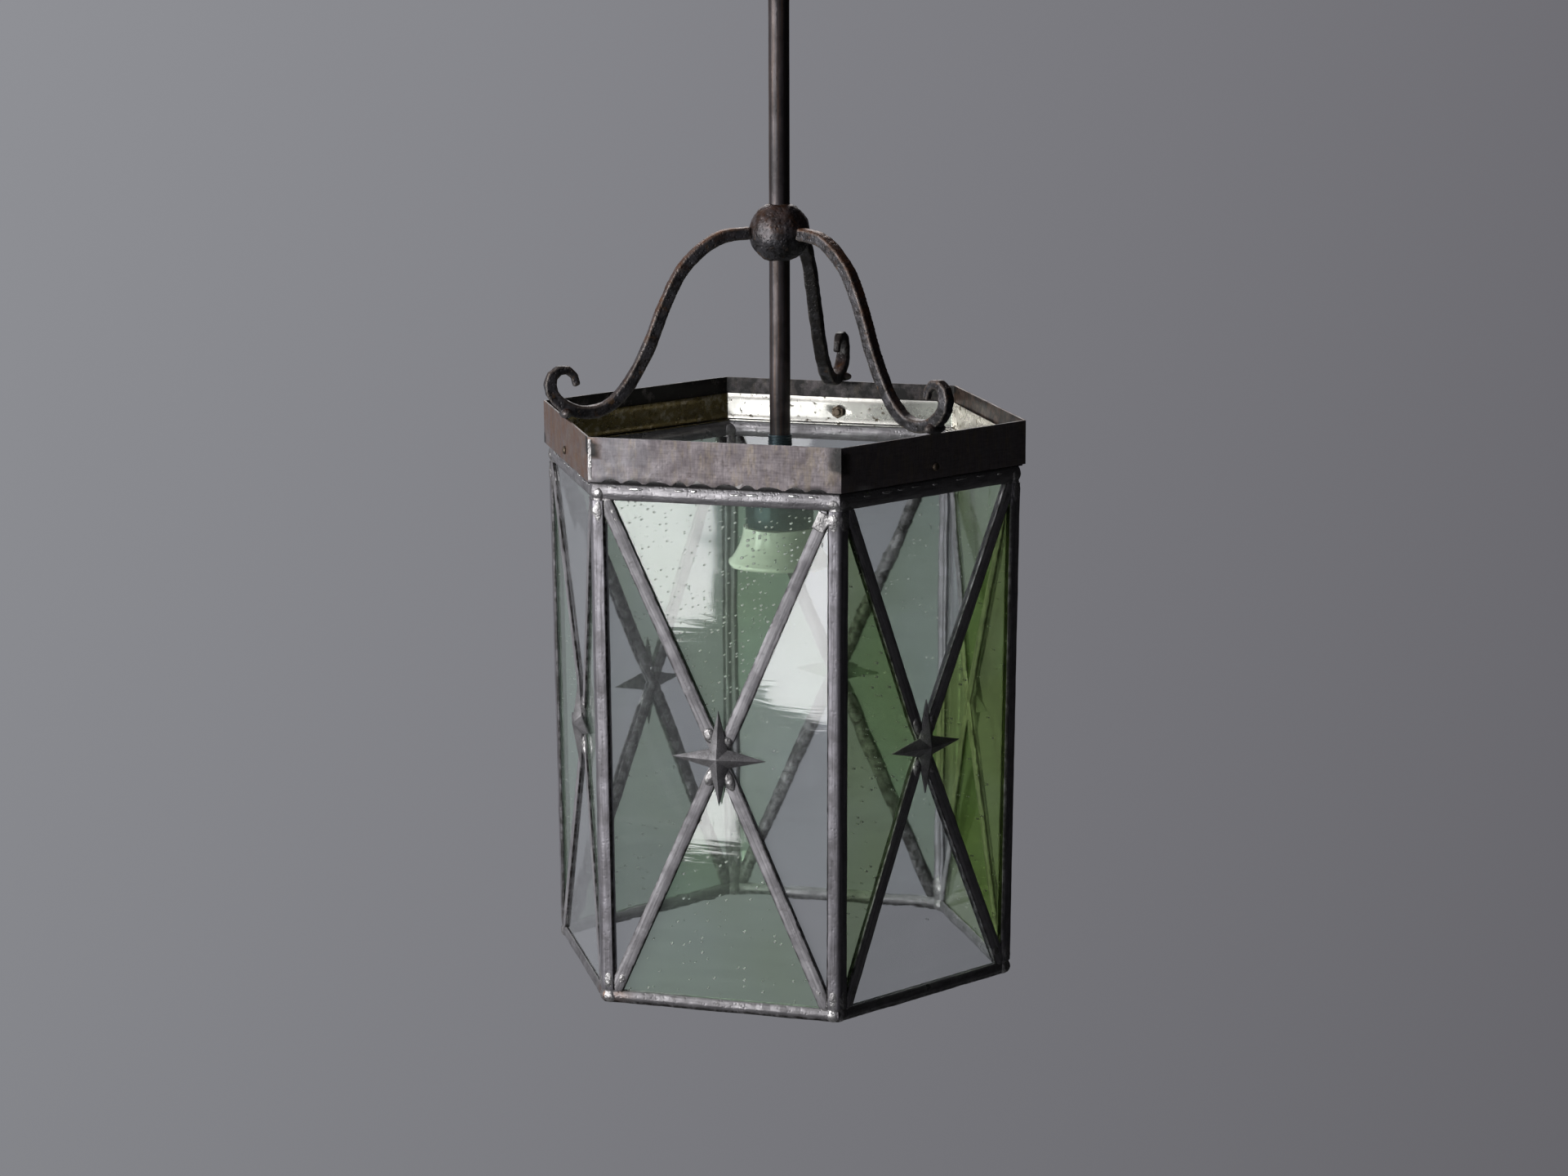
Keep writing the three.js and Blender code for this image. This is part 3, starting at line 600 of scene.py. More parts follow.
@dataclass(frozen=True)
class GlazedPorcelain(Finish):
    """Hard white porcelain under a clear glaze, with a few specks and a faint warm tone in the thin places."""

    body: str
    speck: str

    def surface(self, tree: bpy.types.NodeTree) -> bpy.types.NodeSocket:
        """A glossy glaze that is slightly uneven over a pale body."""
        place = add_node(tree, "TexCoord").outputs["Object"]
        specks = add_node(tree, "TexVoronoi", {"Vector": place, "Scale": 1 / (5 * MM)})
        spot = add_node(tree, "MapRange", {"Value": specks.outputs["Distance"], "From Min": 0.05, "From Max": 0.09,
                                           "To Min": 0.6, "To Max": 0.0})
        tone = add_node(tree, "TexNoise", {"Vector": place, "Scale": 1 / (16 * MM), "Detail": 3.0})
        body = add_node(tree, "Mix", {0: tone.outputs["Fac"], 6: linear(self.body), 7: linear("#E6E7DC")},
                        data_type="RGBA")
        colour = add_node(tree, "Mix", {0: spot.outputs[0], 6: body.outputs[2], 7: linear(self.speck)},
                          data_type="RGBA")
        peel = add_node(tree, "Bump", {"Height": tone.outputs["Fac"], "Distance": 0.15 * MM, "Strength": 1.0})
        gloss = add_node(tree, "MapRange", {"Value": tone.outputs["Fac"], "To Min": 0.08, "To Max": 0.2})
        return add_node(tree, "BsdfPrincipled", {"Base Color": colour.outputs[2], "Roughness": gloss.outputs[0],
                                                 "IOR": 1.52, "Normal": peel.outputs[0]}).outputs[0]


# Wrought iron, forged, waxed black: dark with brown and tan bloom, a soft sheen and edges rubbed grey.
IRON = AgedMetal("waxed_wrought_iron", "forged_iron", clean="#4F4D51", oxide="#1B181A", stain="#74522F",
                 metallic=0.35, smooth=0.32, rough=0.55, patch=8, patch_from=0.46, patch_full=0.57, stain_size=7,
                 stain_from=0.58, stain_full=0.68, pit=2.2, pit_depth=0.18, streak_depth=0.05,
                 streak_shades=(0.7, 1.25), wear="#A0968F", wear_from=0.515, rust="#8C5427")
# Drawn iron tube, waxed: as the forgings, with streaks down its length.
TUBE = AgedMetal("waxed_iron_tube", "forged_iron", clean="#544D4F", oxide="#342F31", stain="#5D4432",
                 metallic=0.35, smooth=0.3, rough=0.46, patch=24, stain_from=0.62, stain_full=0.78,
                 grain=Grain.UPRIGHT, streak_width=1.1, streak_length=40, streak_depth=0.04,
                 streak_shades=(0.6, 1.25), pit_depth=0.05, veil="#6A4C34", veil_width=1.6, veil_length=90,
                 veil_share=0.45)
# Sheet steel, rubbed with wire wool: grey-brown, cool and pinkish patches, faint upright and level scratches; its dark
# colour is oxide and painted shade on the band's inner faces.
BAND_STEEL = AgedMetal("wiped_sheet_steel", "band_steel", clean="#857D7F", oxide="#6C6366", stain="#5C493D",
                       metallic=0.45, smooth=0.4, rough=0.56, patch=15, patch_from=0.36, patch_full=0.66,
                       stain_size=9, stain_from=0.6, stain_full=0.85, grain=Grain.RUBBED, streak_width=1.0,
                       streak_length=11, streak_depth=0.05, streak_shades=(0.66, 1.36), pit=3.4,
                       pit_depth=0.05, veil="#91836C", veil_width=4.5, veil_length=16, veil_share=0.45, wear="#A8A5A4", bloom="#8F9096",
                       rust="#80552F", scorch="#15110F")
# Tinned sheet iron: bright, a little warm, with brown freckles where the tin has gone; its dark colour is painted shade
# on the collar's outer face, behind the band.
TIN = AgedMetal("tinned_sheet_iron", "tinned_sheet", clean="#E6E3DC", oxide="#CDCBC6", stain="#5C4C34",
                metallic=0.75, smooth=0.2, rough=0.32, patch=24, stain_size=4.5, stain_from=0.58,
                stain_full=0.63, grain=Grain.RUBBED, streak_width=2.5, streak_length=18, pit=5, pit_depth=0.012,
                streak_depth=0.03, streak_shades=(0.9, 1.08), ragged=0.6, rust="#6A5F3C", scorch="#1A1416")
# Lead came, drawn through a mill: dull silver-grey with streaks along it and darker oxide.
LEAD = AgedMetal("drawn_lead_came", "came_lead", clean="#A9A6AA", oxide="#8C898D", stain="#6A635E",
                 metallic=0.3, smooth=0.46, rough=0.62, patch=14, stain_size=6, stain_from=0.62,
                 stain_full=0.76, grain=Grain.LAID, streak_width=1.5, streak_length=50, streak_depth=0.14,
                 streak_shades=(0.6, 1.3), pit=2.8, pit_depth=0.05)
# The corner posts' lead: handled more, so darker.
POST_LEAD = replace(LEAD, name="dull_lead_post", clean="#8F8C92", oxide="#757276", stain="#5A534E",
                    metallic=0.5, smooth=0.36, rough=0.52)
# The rails' lead, tinned all over with an iron: brighter, with glossy runs; its near-white bloom colour is a painted
# highlight on the rails' upward faces.
TINNED_LEAD = AgedMetal("tinned_lead_rail", "came_lead", clean="#9F9C9F", oxide="#807D80", stain="#655D57",
                        metallic=0.6, smooth=0.26, rough=0.46, patch=16, patch_from=0.4, patch_full=0.64,
                        stain_size=5, stain_from=0.6, stain_full=0.74, grain=Grain.LAID, streak_width=1.4,
                        streak_length=18, streak_depth=0.12, streak_shades=(0.72, 1.25), pit=2.2, pit_depth=0.08,
                        bloom="#DEDDDB")
# Tin and lead solder, wiped with a moleskin: brighter and creamier than the lead, lumpy and glossy.
SOLDER = AgedMetal("wiped_solder", "came_lead", clean="#B0AEAD", oxide="#878485", stain="#6A6058",
                   metallic=0.7, smooth=0.22, rough=0.45, patch=5, stain_size=3.5, stain_from=0.6,
                   stain_full=0.74, pit=2.0, pit_depth=0.12, streak_depth=0.05)
# Beads of fresh tin that ran along the rail: nearly white and glossy.
TIN_BEAD = AgedMetal("fresh_tin_bead", "came_lead", clean="#ECEBE9", oxide="#C8C6C4", stain="#8C857C",
                     metallic=0.8, smooth=0.12, rough=0.28, patch=4, stain_size=3, pit=2.0, pit_depth=0.04,
                     streak_depth=0.02)
# Cast lead star: matte dark grey, sandy from its mould.
STAR_LEAD = AgedMetal("cast_lead_star", "star_metal", clean="#8A888A", oxide="#6C6A6C", stain="#575351",
                      metallic=0.4, smooth=0.45, rough=0.6, patch=9, stain_size=4, pit=1.4, pit_depth=0.1,
                      streak_depth=0.04, streak_shades=(0.8, 1.2))
# Zinc-plated screw, dulled, with rust round its edges.
BOLT = AgedMetal("dull_plated_steel", "bolt_steel", clean="#75685A", oxide="#41362A", stain="#4A3220",
                 metallic=0.7, smooth=0.3, rough=0.5, patch=3, stain_size=3, stain_from=0.55,
                 stain_full=0.7, pit=1.2, pit_depth=0.04, streak_depth=0.02)
# Spun brass cap, gone dark grey-green.
CAP_METAL = AgedMetal("darkened_spun_brass", "cap_metal", clean="#47565C", oxide="#2F3E44", stain="#4C4A3C",
                      metallic=0.6, smooth=0.3, rough=0.5, patch=12, stain_from=0.66, stain_full=0.8,
                      streak_depth=0.02, pit=3, pit_depth=0.03)
# Rolled brass screw shell: warm yellow, tarnished in the grooves.
BRASS = AgedMetal("rolled_brass", "brass", clean="#B5934F", oxide="#7C6336", stain="#4B3D26", metallic=1.0,
                  smooth=0.25, rough=0.45, patch=8, streak_depth=0.01, pit=2, pit_depth=0.02)
# Hand-cast sea-green glass, seeded: pale and bluish in thin panes, yellower where it is thick.
GREEN_GLASS = SeededGlass("seeded_green_glass", "green_glass", tint="#E2F4E6", deep_tint="#B4CC84",
                          seed_cell=3.6, seed_share=0.62, seed_radius=0.75, dash_cell=5.5, dash_share=0.35)
# Drawn clear glass, nearly colourless, with few seeds.
CLEAR_GLASS = SeededGlass("drawn_clear_glass", "clear_glass", tint="#FBFDFE", deep_tint="#EAF4F0",
                          seed_cell=13, seed_share=0.35, seed_radius=0.6, dash_cell=12, clarity=0.98, cord_shade=0.03)
PORCELAIN = GlazedPorcelain("glazed_porcelain", "porcelain", body="#FBFBF4", speck="#8A7F70")


@dataclass
class Studio:
    """The camera at the photograph's angle, a soft key light from the left, and a plain floor far below."""

    eye: tuple[float, float, float] = (0.6092, -2.0041, -0.0340)
    heading: float = 16.853
    tilt: float = -11.20
    roll: float = -0.17
    lens: float = 83.77
    sensor: float = 36.0
    floor_height: float = -2.0
    floor_radius: float = 2.4
    backdrop_left: str = "#8C8D92"
    backdrop_right: str = "#66656A"
    backdrop_fall: float = 0.12
    ambient: str = "#8F9299"
    ambient_strength: float = 0.025
    key_heading: float = -141
    key_distance: float = 2.5
    key_height: float = 0.15
    key_size: tuple[float, float] = (1.0, 2.0)
    key_watts: float = 46
    edge_heading: float = -125
    edge_side: tuple[float, float] = (0.2, 0.785)
    edge_parts: tuple[tuple[float, float, float], ...] = ((-1.17, -0.92, 12.3), (-0.92, 0.95, 6.2))
    back_heading: float = 109
    back_height: float = 0.9
    back_size: float = 1.4
    back_watts: float = 17
    flag_heading: float = 30
    flag_distance: float = 1.8
    flag_size: float = 5.6

    def build(self) -> None:
        """Makes the camera, the lights, the flag, the world and the floor."""
        bpy.context.scene.view_settings.view_transform = "Standard"
        self.camera()
        self.key_light()
        self.edge_light()
        self.back_light()
        self.flag()
        self.world()
        self.floor()

    def camera(self) -> None:
        """Places the camera as the photographer's stood."""
        lens = bpy.data.cameras.new("camera")
        lens.lens, lens.sensor_width, lens.sensor_fit = self.lens, self.sensor, "HORIZONTAL"
        lens.clip_start, lens.clip_end = 0.05, 50
        camera = bpy.data.objects.new("camera", lens)
        bpy.context.collection.objects.link(camera)
        turn = Matrix.Rotation(math.radians(self.heading), 4, "Z")
        nod = Matrix.Rotation(math.radians(90 + self.tilt), 4, "X")
        lean = Matrix.Rotation(math.radians(self.roll), 4, "Z")
        camera.matrix_world = Matrix.Translation(self.eye) @ turn @ nod @ lean
        bpy.context.scene.camera = camera

    def softbox(self, name: str, size: tuple[float, float], watts: float, middle: Vector,
                away: Vector) -> bpy.types.Object:
        """Hangs a softbox that lights and shows in gloss, but isn't itself in view.

        Args:
            name: its name.
            size: its width and height.
            watts: its power.
            middle: the place of its centre.
            away: the direction from the object to it, which it faces back along.

        Returns:
            The light.
        """
        lamp = bpy.data.lights.new(name, "AREA")
        lamp.shape = "RECTANGLE"
        lamp.size, lamp.size_y = size
        lamp.energy = watts
        light = bpy.data.objects.new(name, lamp)
        bpy.context.collection.objects.link(light)
        side = UP.cross(away).normalized()
        turn = Matrix((side, away.cross(side), away)).transposed().to_4x4()
        light.matrix_world = Matrix.Translation(middle) @ turn
        light.visible_camera = False
        light.visible_transmission = False
        return light

    def key_light(self) -> None:
        """A tall softbox on the left, so far round that it leaves the lantern's right side dark."""
        away = level(self.key_heading)
        self.softbox("key_softbox", self.key_size, self.key_watts, away * self.key_distance + UP * self.key_height,
                     away)

    def edge_light(self) -> None:
        """The softbox's near side, whose lower right edge shows in the front panes; it only shows in gloss."""
        away = level(self.edge_heading)
        near = away * self.key_distance + UP.cross(away) * sum(self.edge_side) / 2
        for low, high, radiance in self.edge_parts:
            size = (self.edge_side[1] - self.edge_side[0], high - low)
            light = self.softbox("edge_softbox", size, radiance * math.pi * size[0] * size[1],
                                 near + UP * (low + high) / 2, away)
            light.visible_diffuse = False

    def back_light(self) -> None:
        """A weak softbox behind, so that the far sides read too."""
        middle = level(self.back_heading) * self.key_distance + UP * self.back_height
        self.softbox("back_softbox", (self.back_size, self.back_size), self.back_watts, middle,
                     middle.normalized())

    def flag(self) -> None:
        """A black cloth on the right, which keeps the shaded sides deep."""
        away = level(self.flag_heading)
        flag = start(bpy.ops.mesh.primitive_plane_add, "black_flag", size=self.flag_size,
                     location=away * self.flag_distance - UP * 0.4,
                     rotation=(math.pi / 2, 0, math.radians(self.flag_heading) + math.pi / 2)).seat()
        cloth = bpy.data.materials.new("black_cloth")
        cloth.use_nodes = True
        cloth.node_tree.nodes["Principled BSDF"].inputs["Base Color"].default_value = linear("#0C0C0D")
        cloth.node_tree.nodes["Principled BSDF"].inputs["Roughness"].default_value = 0.9
        flag.shape.data.materials.append(cloth)
        flag.shape.visible_camera = False
        flag.shape.visible_transmission = False
        flag.shape.visible_shadow = False

    def world(self) -> None:
        """A plain grey surround for sight, gloss and glass, and a low even light for the rest."""
        world = bpy.data.worlds.new("studio")
        bpy.context.scene.world = world
        world.use_nodes = True
        tree = world.node_tree
        tree.nodes.clear()
        heading = math.radians(self.heading)
        way = add_node(tree, "TexCoord").outputs["Generated"]
        right = add_node(tree, "VectorMath", {0: way, 1: (math.cos(heading), math.sin(heading), 0)},
                         operation="DOT_PRODUCT")
        share = add_node(tree, "MapRange", {"Value": right.outputs["Value"], "From Min": -0.25, "From Max": 0.25})
        grey = add_node(tree, "Mix", {0: share.outputs[0], 6: linear(self.backdrop_left),
                                      7: linear(self.backdrop_right)}, data_type="RGBA")
        height = add_node(tree, "SeparateXYZ", {0: way}).outputs["Z"]
        fall = add_node(tree, "MapRange", {"Value": height, "From Min": -0.4, "From Max": 0.0,
                                           "To Min": 1 - self.backdrop_fall, "To Max": 1 + self.backdrop_fall})
        seen = add_node(tree, "Background", {"Color": grey.outputs[2], "Strength": fall.outputs[0]})
        even = add_node(tree, "Background", {"Color": linear(self.ambient), "Strength": self.ambient_strength})
        rays = add_node(tree, "LightPath").outputs
        looks = add_node(tree, "Math", {0: rays["Is Camera Ray"], 1: rays["Is Glossy Ray"]}, operation="MAXIMUM")
        looks = add_node(tree, "Math", {0: looks.outputs[0], 1: rays["Is Transmission Ray"]}, operation="MAXIMUM")
        mixed = add_node(tree, "MixShader", {0: looks.outputs[0], 1: even.outputs[0], 2: seen.outputs[0]})
        add_node(tree, "OutputWorld", {"Surface": mixed.outputs[0]})

    def floor(self) -> None:
        """A pale painted floor that fades into the surround."""
        floor = start(bpy.ops.mesh.primitive_circle_add, "floor", vertices=96, radius=self.floor_radius,
                      fill_type="NGON", location=(0, 0, self.floor_height)).seat()
        made = bpy.data.materials.new("painted_floor")
        made.use_nodes = True
        tree = made.node_tree
        tree.nodes.clear()
        place = add_node(tree, "TexCoord").outputs["Object"]
        flat = add_node(tree, "VectorMath", {0: place, 1: (1, 1, 0)}, operation="MULTIPLY")
        out = add_node(tree, "VectorMath", {0: flat.outputs[0]}, operation="LENGTH")
        fade = add_node(tree, "MapRange", {"Value": out.outputs["Value"], "From Min": 0.35 * self.floor_radius,
                                           "From Max": 0.97 * self.floor_radius})
        mottle = add_node(tree, "TexNoise", {"Vector": place, "Scale": 3.0, "Detail": 4.0})
        paint = add_node(tree, "Mix", {0: mottle.outputs["Fac"], 6: linear("#C4C5C8"), 7: linear("#BEBFC2")},
                         data_type="RGBA")
        solid = add_node(tree, "BsdfPrincipled", {"Base Color": paint.outputs[2], "Roughness": 0.8})
        clear = add_node(tree, "BsdfTransparent")
        mixed = add_node(tree, "MixShader", {0: fade.outputs[0], 1: solid.outputs[0], 2: clear.outputs[0]})
        add_node(tree, "OutputMaterial", {"Surface": mixed.outputs[0]})
        floor.shape.data.materials.append(made)


class Suspension:
    """The ceiling hook with its plate, the loose link, and the eye on the stem."""

    voxel = 0.8
    hammer = 8.0

    def build(self) -> None:
        """Makes the three forgings."""
        self.forge("ceiling_hook", "forged_ceiling_hook", "ceiling_fitting")
        self.forge("suspension_link", "forged_link", "link")
        self.forge("hanging_eye", "forged_eye", BODY)

    def forge(self, node: str, name: str, body: str) -> None:
        """Gives one forging its hammered skin."""
        work = Work.on_node(node, name).remesh(self.voxel)
        work.lump(Pattern.HAMMER, self.hammer, 0.3).lump(Pattern.SWELL, 4, 0.2)
        work.modify("SMOOTH", factor=0.5, iterations=1).dress(IRON, body, node, angle=60)


class Ironwork:
    """The stem, its knop and the three scroll arms."""

    voxel = 0.6
    plumper = 0.45
    rusty_above = -0.3
    # Height above which the far arm d gets painted shade.
    shaded_above = -0.33

    def build(self) -> None:
        """Makes stem, knop and arms."""
        self.stem()
        self.knop()
        for letter in "bdf":
            self.arm(letter)

    def stem(self) -> None:
        """The drawn tube, eased at its ends, very slightly uneven."""
        work = Work.on_node("stem", "iron_stem").slice(UP, 9).ease(0.4)
        work.lump(Pattern.SWELL, 30, 0.2).dress(TUBE, BODY, "stem", angle=40)

    def knop(self) -> None:
        """The forged ball, beaten and pitted."""
        work = Work.on_node("knop", "forged_knop").remesh(self.voxel)
        work.lump(Pattern.HAMMER, 9, 0.9, 0.4).lump(Pattern.SWELL, 5, 0.8).lump(Pattern.SWELL, 1.8, 0.4)
        work.modify("SMOOTH", factor=0.5, iterations=1)
        work.paint(Mark.RUST, lambda p, n: 0.05 + 0.3 * n.z).dress(IRON, BODY, "knop", angle=60)

    def arm(self, letter: str) -> None:
        """One square bar, hammered thin and thick, with its weld."""
        node = f"scroll_arm_{letter}"
        work = Work.on_node(node, f"forged_arm_{letter}").remesh(self.voxel, 1)
        work.modify("DISPLACE", strength=self.plumper * MM, mid_level=0)
        work.lump(Pattern.HAMMER, 9, 0.5, 0.35).lump(Pattern.SWELL, 16, 0.7, 0.42)
        work.lump(Pattern.SWELL, 2.2, 0.22).modify("SMOOTH", factor=0.4, iterations=1)
        work.paint(Mark.RUST, lambda p, n: max(0, n.z) * (0.8 if p.z > self.rusty_above else 0.25))
        # Painted shade on arm d above that height, where the arm sits in shade.
        work.paint(Mark.SCORCH, lambda p, n: 0.85 * (letter == "d") * (p.z > self.shaded_above))
        work.dress(IRON, BODY, node, angle=60)


@dataclass(frozen=True)
class Side:
    """One of the lantern's six sides, with its own axes: across to the right, up, and outward."""

    index: int

    @property
    def letter(self) -> str:
        """The side's letter, from a at the front round to f."""
        return LETTERS[self.index]

    @property
    def angle(self) -> float:
        """Heading of the side's outward normal."""
        return (2 * self.index - 3) * HALF_SIDE

    @property
    def outward(self) -> Vector:
        """Level direction out of the side."""
        return Vector((math.cos(self.angle), math.sin(self.angle), 0))

    @property
    def across(self) -> Vector:
        """Level direction along the side, to the right from outside."""
        return Vector((-math.sin(self.angle), math.cos(self.angle), 0))


SIDES_ROUND = [Side(i) for i in range(SIDES)]


def side_of(point: Vector) -> Side:
    """The side that a point lies on."""
    return SIDES_ROUND[round((math.atan2(point.y, point.x) / HALF_SIDE + 3) / 2) % SIDES]


def faces_in(point: Vector, normal: Vector) -> float:
    """1 for a point whose normal is towards the lantern's axis, otherwise 0."""
    return float(side_of(point).outward.dot(normal) < -0.2)


def round_the_hexagon(point: Vector) -> Vector:
    """Where a point of a ring lies: up, along its own side, and the side's number."""
    side = side_of(point)
    return Vector((point.z, side.across.dot(point), float(side.index)))


class Gallery:
    """The steel band, the tinned collar inside it, and the bolts that hold them together."""

    seam_radius = 0.0011
    seam_heading = -119.6
    head_share = 0.6
    bow = 0.0008
    row_half = 0.067
    row_height = 0.0035
    uneven = 0.0022
    sway = 170

    def build(self) -> None:
        """Makes band, collar and bolts."""
        band = self.ring("gallery_band", "wiped_band", 0.3, 0.5)
        self.cut_by_hand(band)
        # Darker on the band's inner faces: oxide there, and painted shade, heavier on the sides other than c and d.
        band.paint(Mark.SCORCH, lambda p, n: faces_in(p, n) * (1.0 if side_of(p).letter in "cd" else 1.6))
        band.paint(Mark.RUST, lambda p, n: 0.5 * (side_of(p).letter in "fc") * (1 + faces_in(p, n)))
        band.paint(Mark.BLOOM, self.cool_end).dress(BAND_STEEL, BODY, "gallery_band")
        collar = self.ring("tin_collar", "bright_collar", 0.2, 0.35)
        half_side = node_box("tin_collar")[1].x / 2
        for vertex in collar.shape.data.vertices:
            side = side_of(vertex.co)
            share = side.across.dot(vertex.co) / half_side
            vertex.co -= side.outward * self.bow * max(0, 1 - share * share)
        # Painted shade on the collar's outer face, where it lies in the narrow gap behind the band.
        collar.paint(Mark.SCORCH, lambda p, n: 4 * (1 - faces_in(p, n)))
        collar.paint(Mark.RUST, self.tarnish).dress(TIN, BODY, "tin_collar")
        self.seam()
        for side in SIDES_ROUND[1::2]:
            self.bolt(side)

    def ring(self, node: str, name: str, edge: float, wave: float) -> Work:
        """A folded ring of sheet, eased along its edges and not quite flat."""
        work = Work.on_node(node, name).ease(edge)
        for side in SIDES_ROUND[:3]:
            work.slice(side.across, 9)
        return work.slice(UP, 4).lump(Pattern.SWELL, 34, wave).lay(round_the_hexagon)

    def cut_by_hand(self, band: Work) -> None:
        """Makes the row of scallops a little uneven in place and height."""
        front, foot = SIDES_ROUND[0], node_box("gallery_band")[0].z
        for vertex in band.shape.data.vertices:
            across = front.across.dot(vertex.co)
            if side_of(vertex.co) == front and abs(across) < self.row_half and vertex.co.z < foot + self.row_height:
                inner = 1 - (across / self.row_half) ** 2
                vertex.co += front.across * self.uneven * inner * math.sin(across * self.sway)
                vertex.co.z = foot + (vertex.co.z - foot) * (0.76 + 0.14 * math.sin(across * self.sway * 1.7 + 1))

    def bolt(self, side: Side) -> None:
        """One small round-headed screw; its head outside the band is small beside its nut."""
        node = f"gallery_bolt_{side.letter}"
        low, high = node_box(node)
        skin = node_box("gallery_band")[1].y
        work = Work.on_node(node, f"screw_{side.letter}").ease(0.25)
        with work.editing():
            bpy.ops.mesh.select_all(action="DESELECT")
        for vertex in work.shape.data.vertices:
            vertex.select = side.outward.dot(vertex.co) > skin - 0.0002
        bpy.ops.object.mode_set(mode="EDIT")
        bpy.ops.transform.resize(value=(self.head_share,) * 3,
                                 center_override=side.outward * skin + UP * (low.z + high.z) / 2)
        bpy.ops.object.mode_set(mode="OBJECT")
        work.soften(1).dress(BOLT, BODY, node)

    def cool_end(self, point: Vector, normal: Vector) -> float:
        """The band's bright cool patch at the front face's left end."""
        side = side_of(point)
        return max(0, min(1, (-0.02 - side.across.dot(point)) / 0.03)) * 0.4 * (side.letter == "a")

    def tarnish(self, point: Vector, normal: Vector) -> float:
        """Brown on the collar: most on its left inside, least on the far side."""
        return {"a": 0.3, "b": 0.3, "c": 0.5, "d": 0.08, "e": 1.1, "f": 0.7}[side_of(point).letter]

    def seam(self) -> None:
        """The upright bead of solder where the band's ends meet, left of the front face."""
        low, high = node_box("gallery_band")
        corner = level(self.seam_heading) * (high.y / math.cos(HALF_SIDE) - self.seam_radius * 0.8)
        bead = start(bpy.ops.mesh.primitive_cylinder_add, "seam_bead", vertices=12, radius=self.seam_radius,
                     depth=(high.z - low.z) - 0.002, location=corner + UP * (low.z + high.z) / 2).seat()
        bead.slice(UP, 1).lump(Pattern.SWELL, 3, 0.4).modify("SMOOTH", factor=0.5, iterations=1)
        bead.dress(SOLDER, BODY)


@dataclass(frozen=True)
class PaneCut:
    """How one hand-cut pane differs: depth of tint, share of seeds, and how it sits in its groove.

    Nod is its slope outward towards the top, and twist is how that slope changes for each metre across.
    Turn is its slope outward towards the right.
    """

    depth: float = 0.12
    seedy: float = 0.3
    nod: float = 0.0
    twist: float = 0.0
    turn: float = 0.0


PANES = {
    "a_top": PaneCut(seedy=1.0, nod=math.radians(0.15)),
    "a_bottom": PaneCut(turn=math.radians(0.6)),
    "a_right": PaneCut(nod=math.radians(0.5), twist=-math.radians(12)),
    "b_left": PaneCut(depth=0.6),
    "b_right": PaneCut(depth=1.0),
    "c_top": PaneCut(depth=0.6, seedy=0.6),
    "c_bottom": PaneCut(depth=0.6),
    "f_left": PaneCut(depth=0.0),
    "f_right": PaneCut(depth=0.0),
}


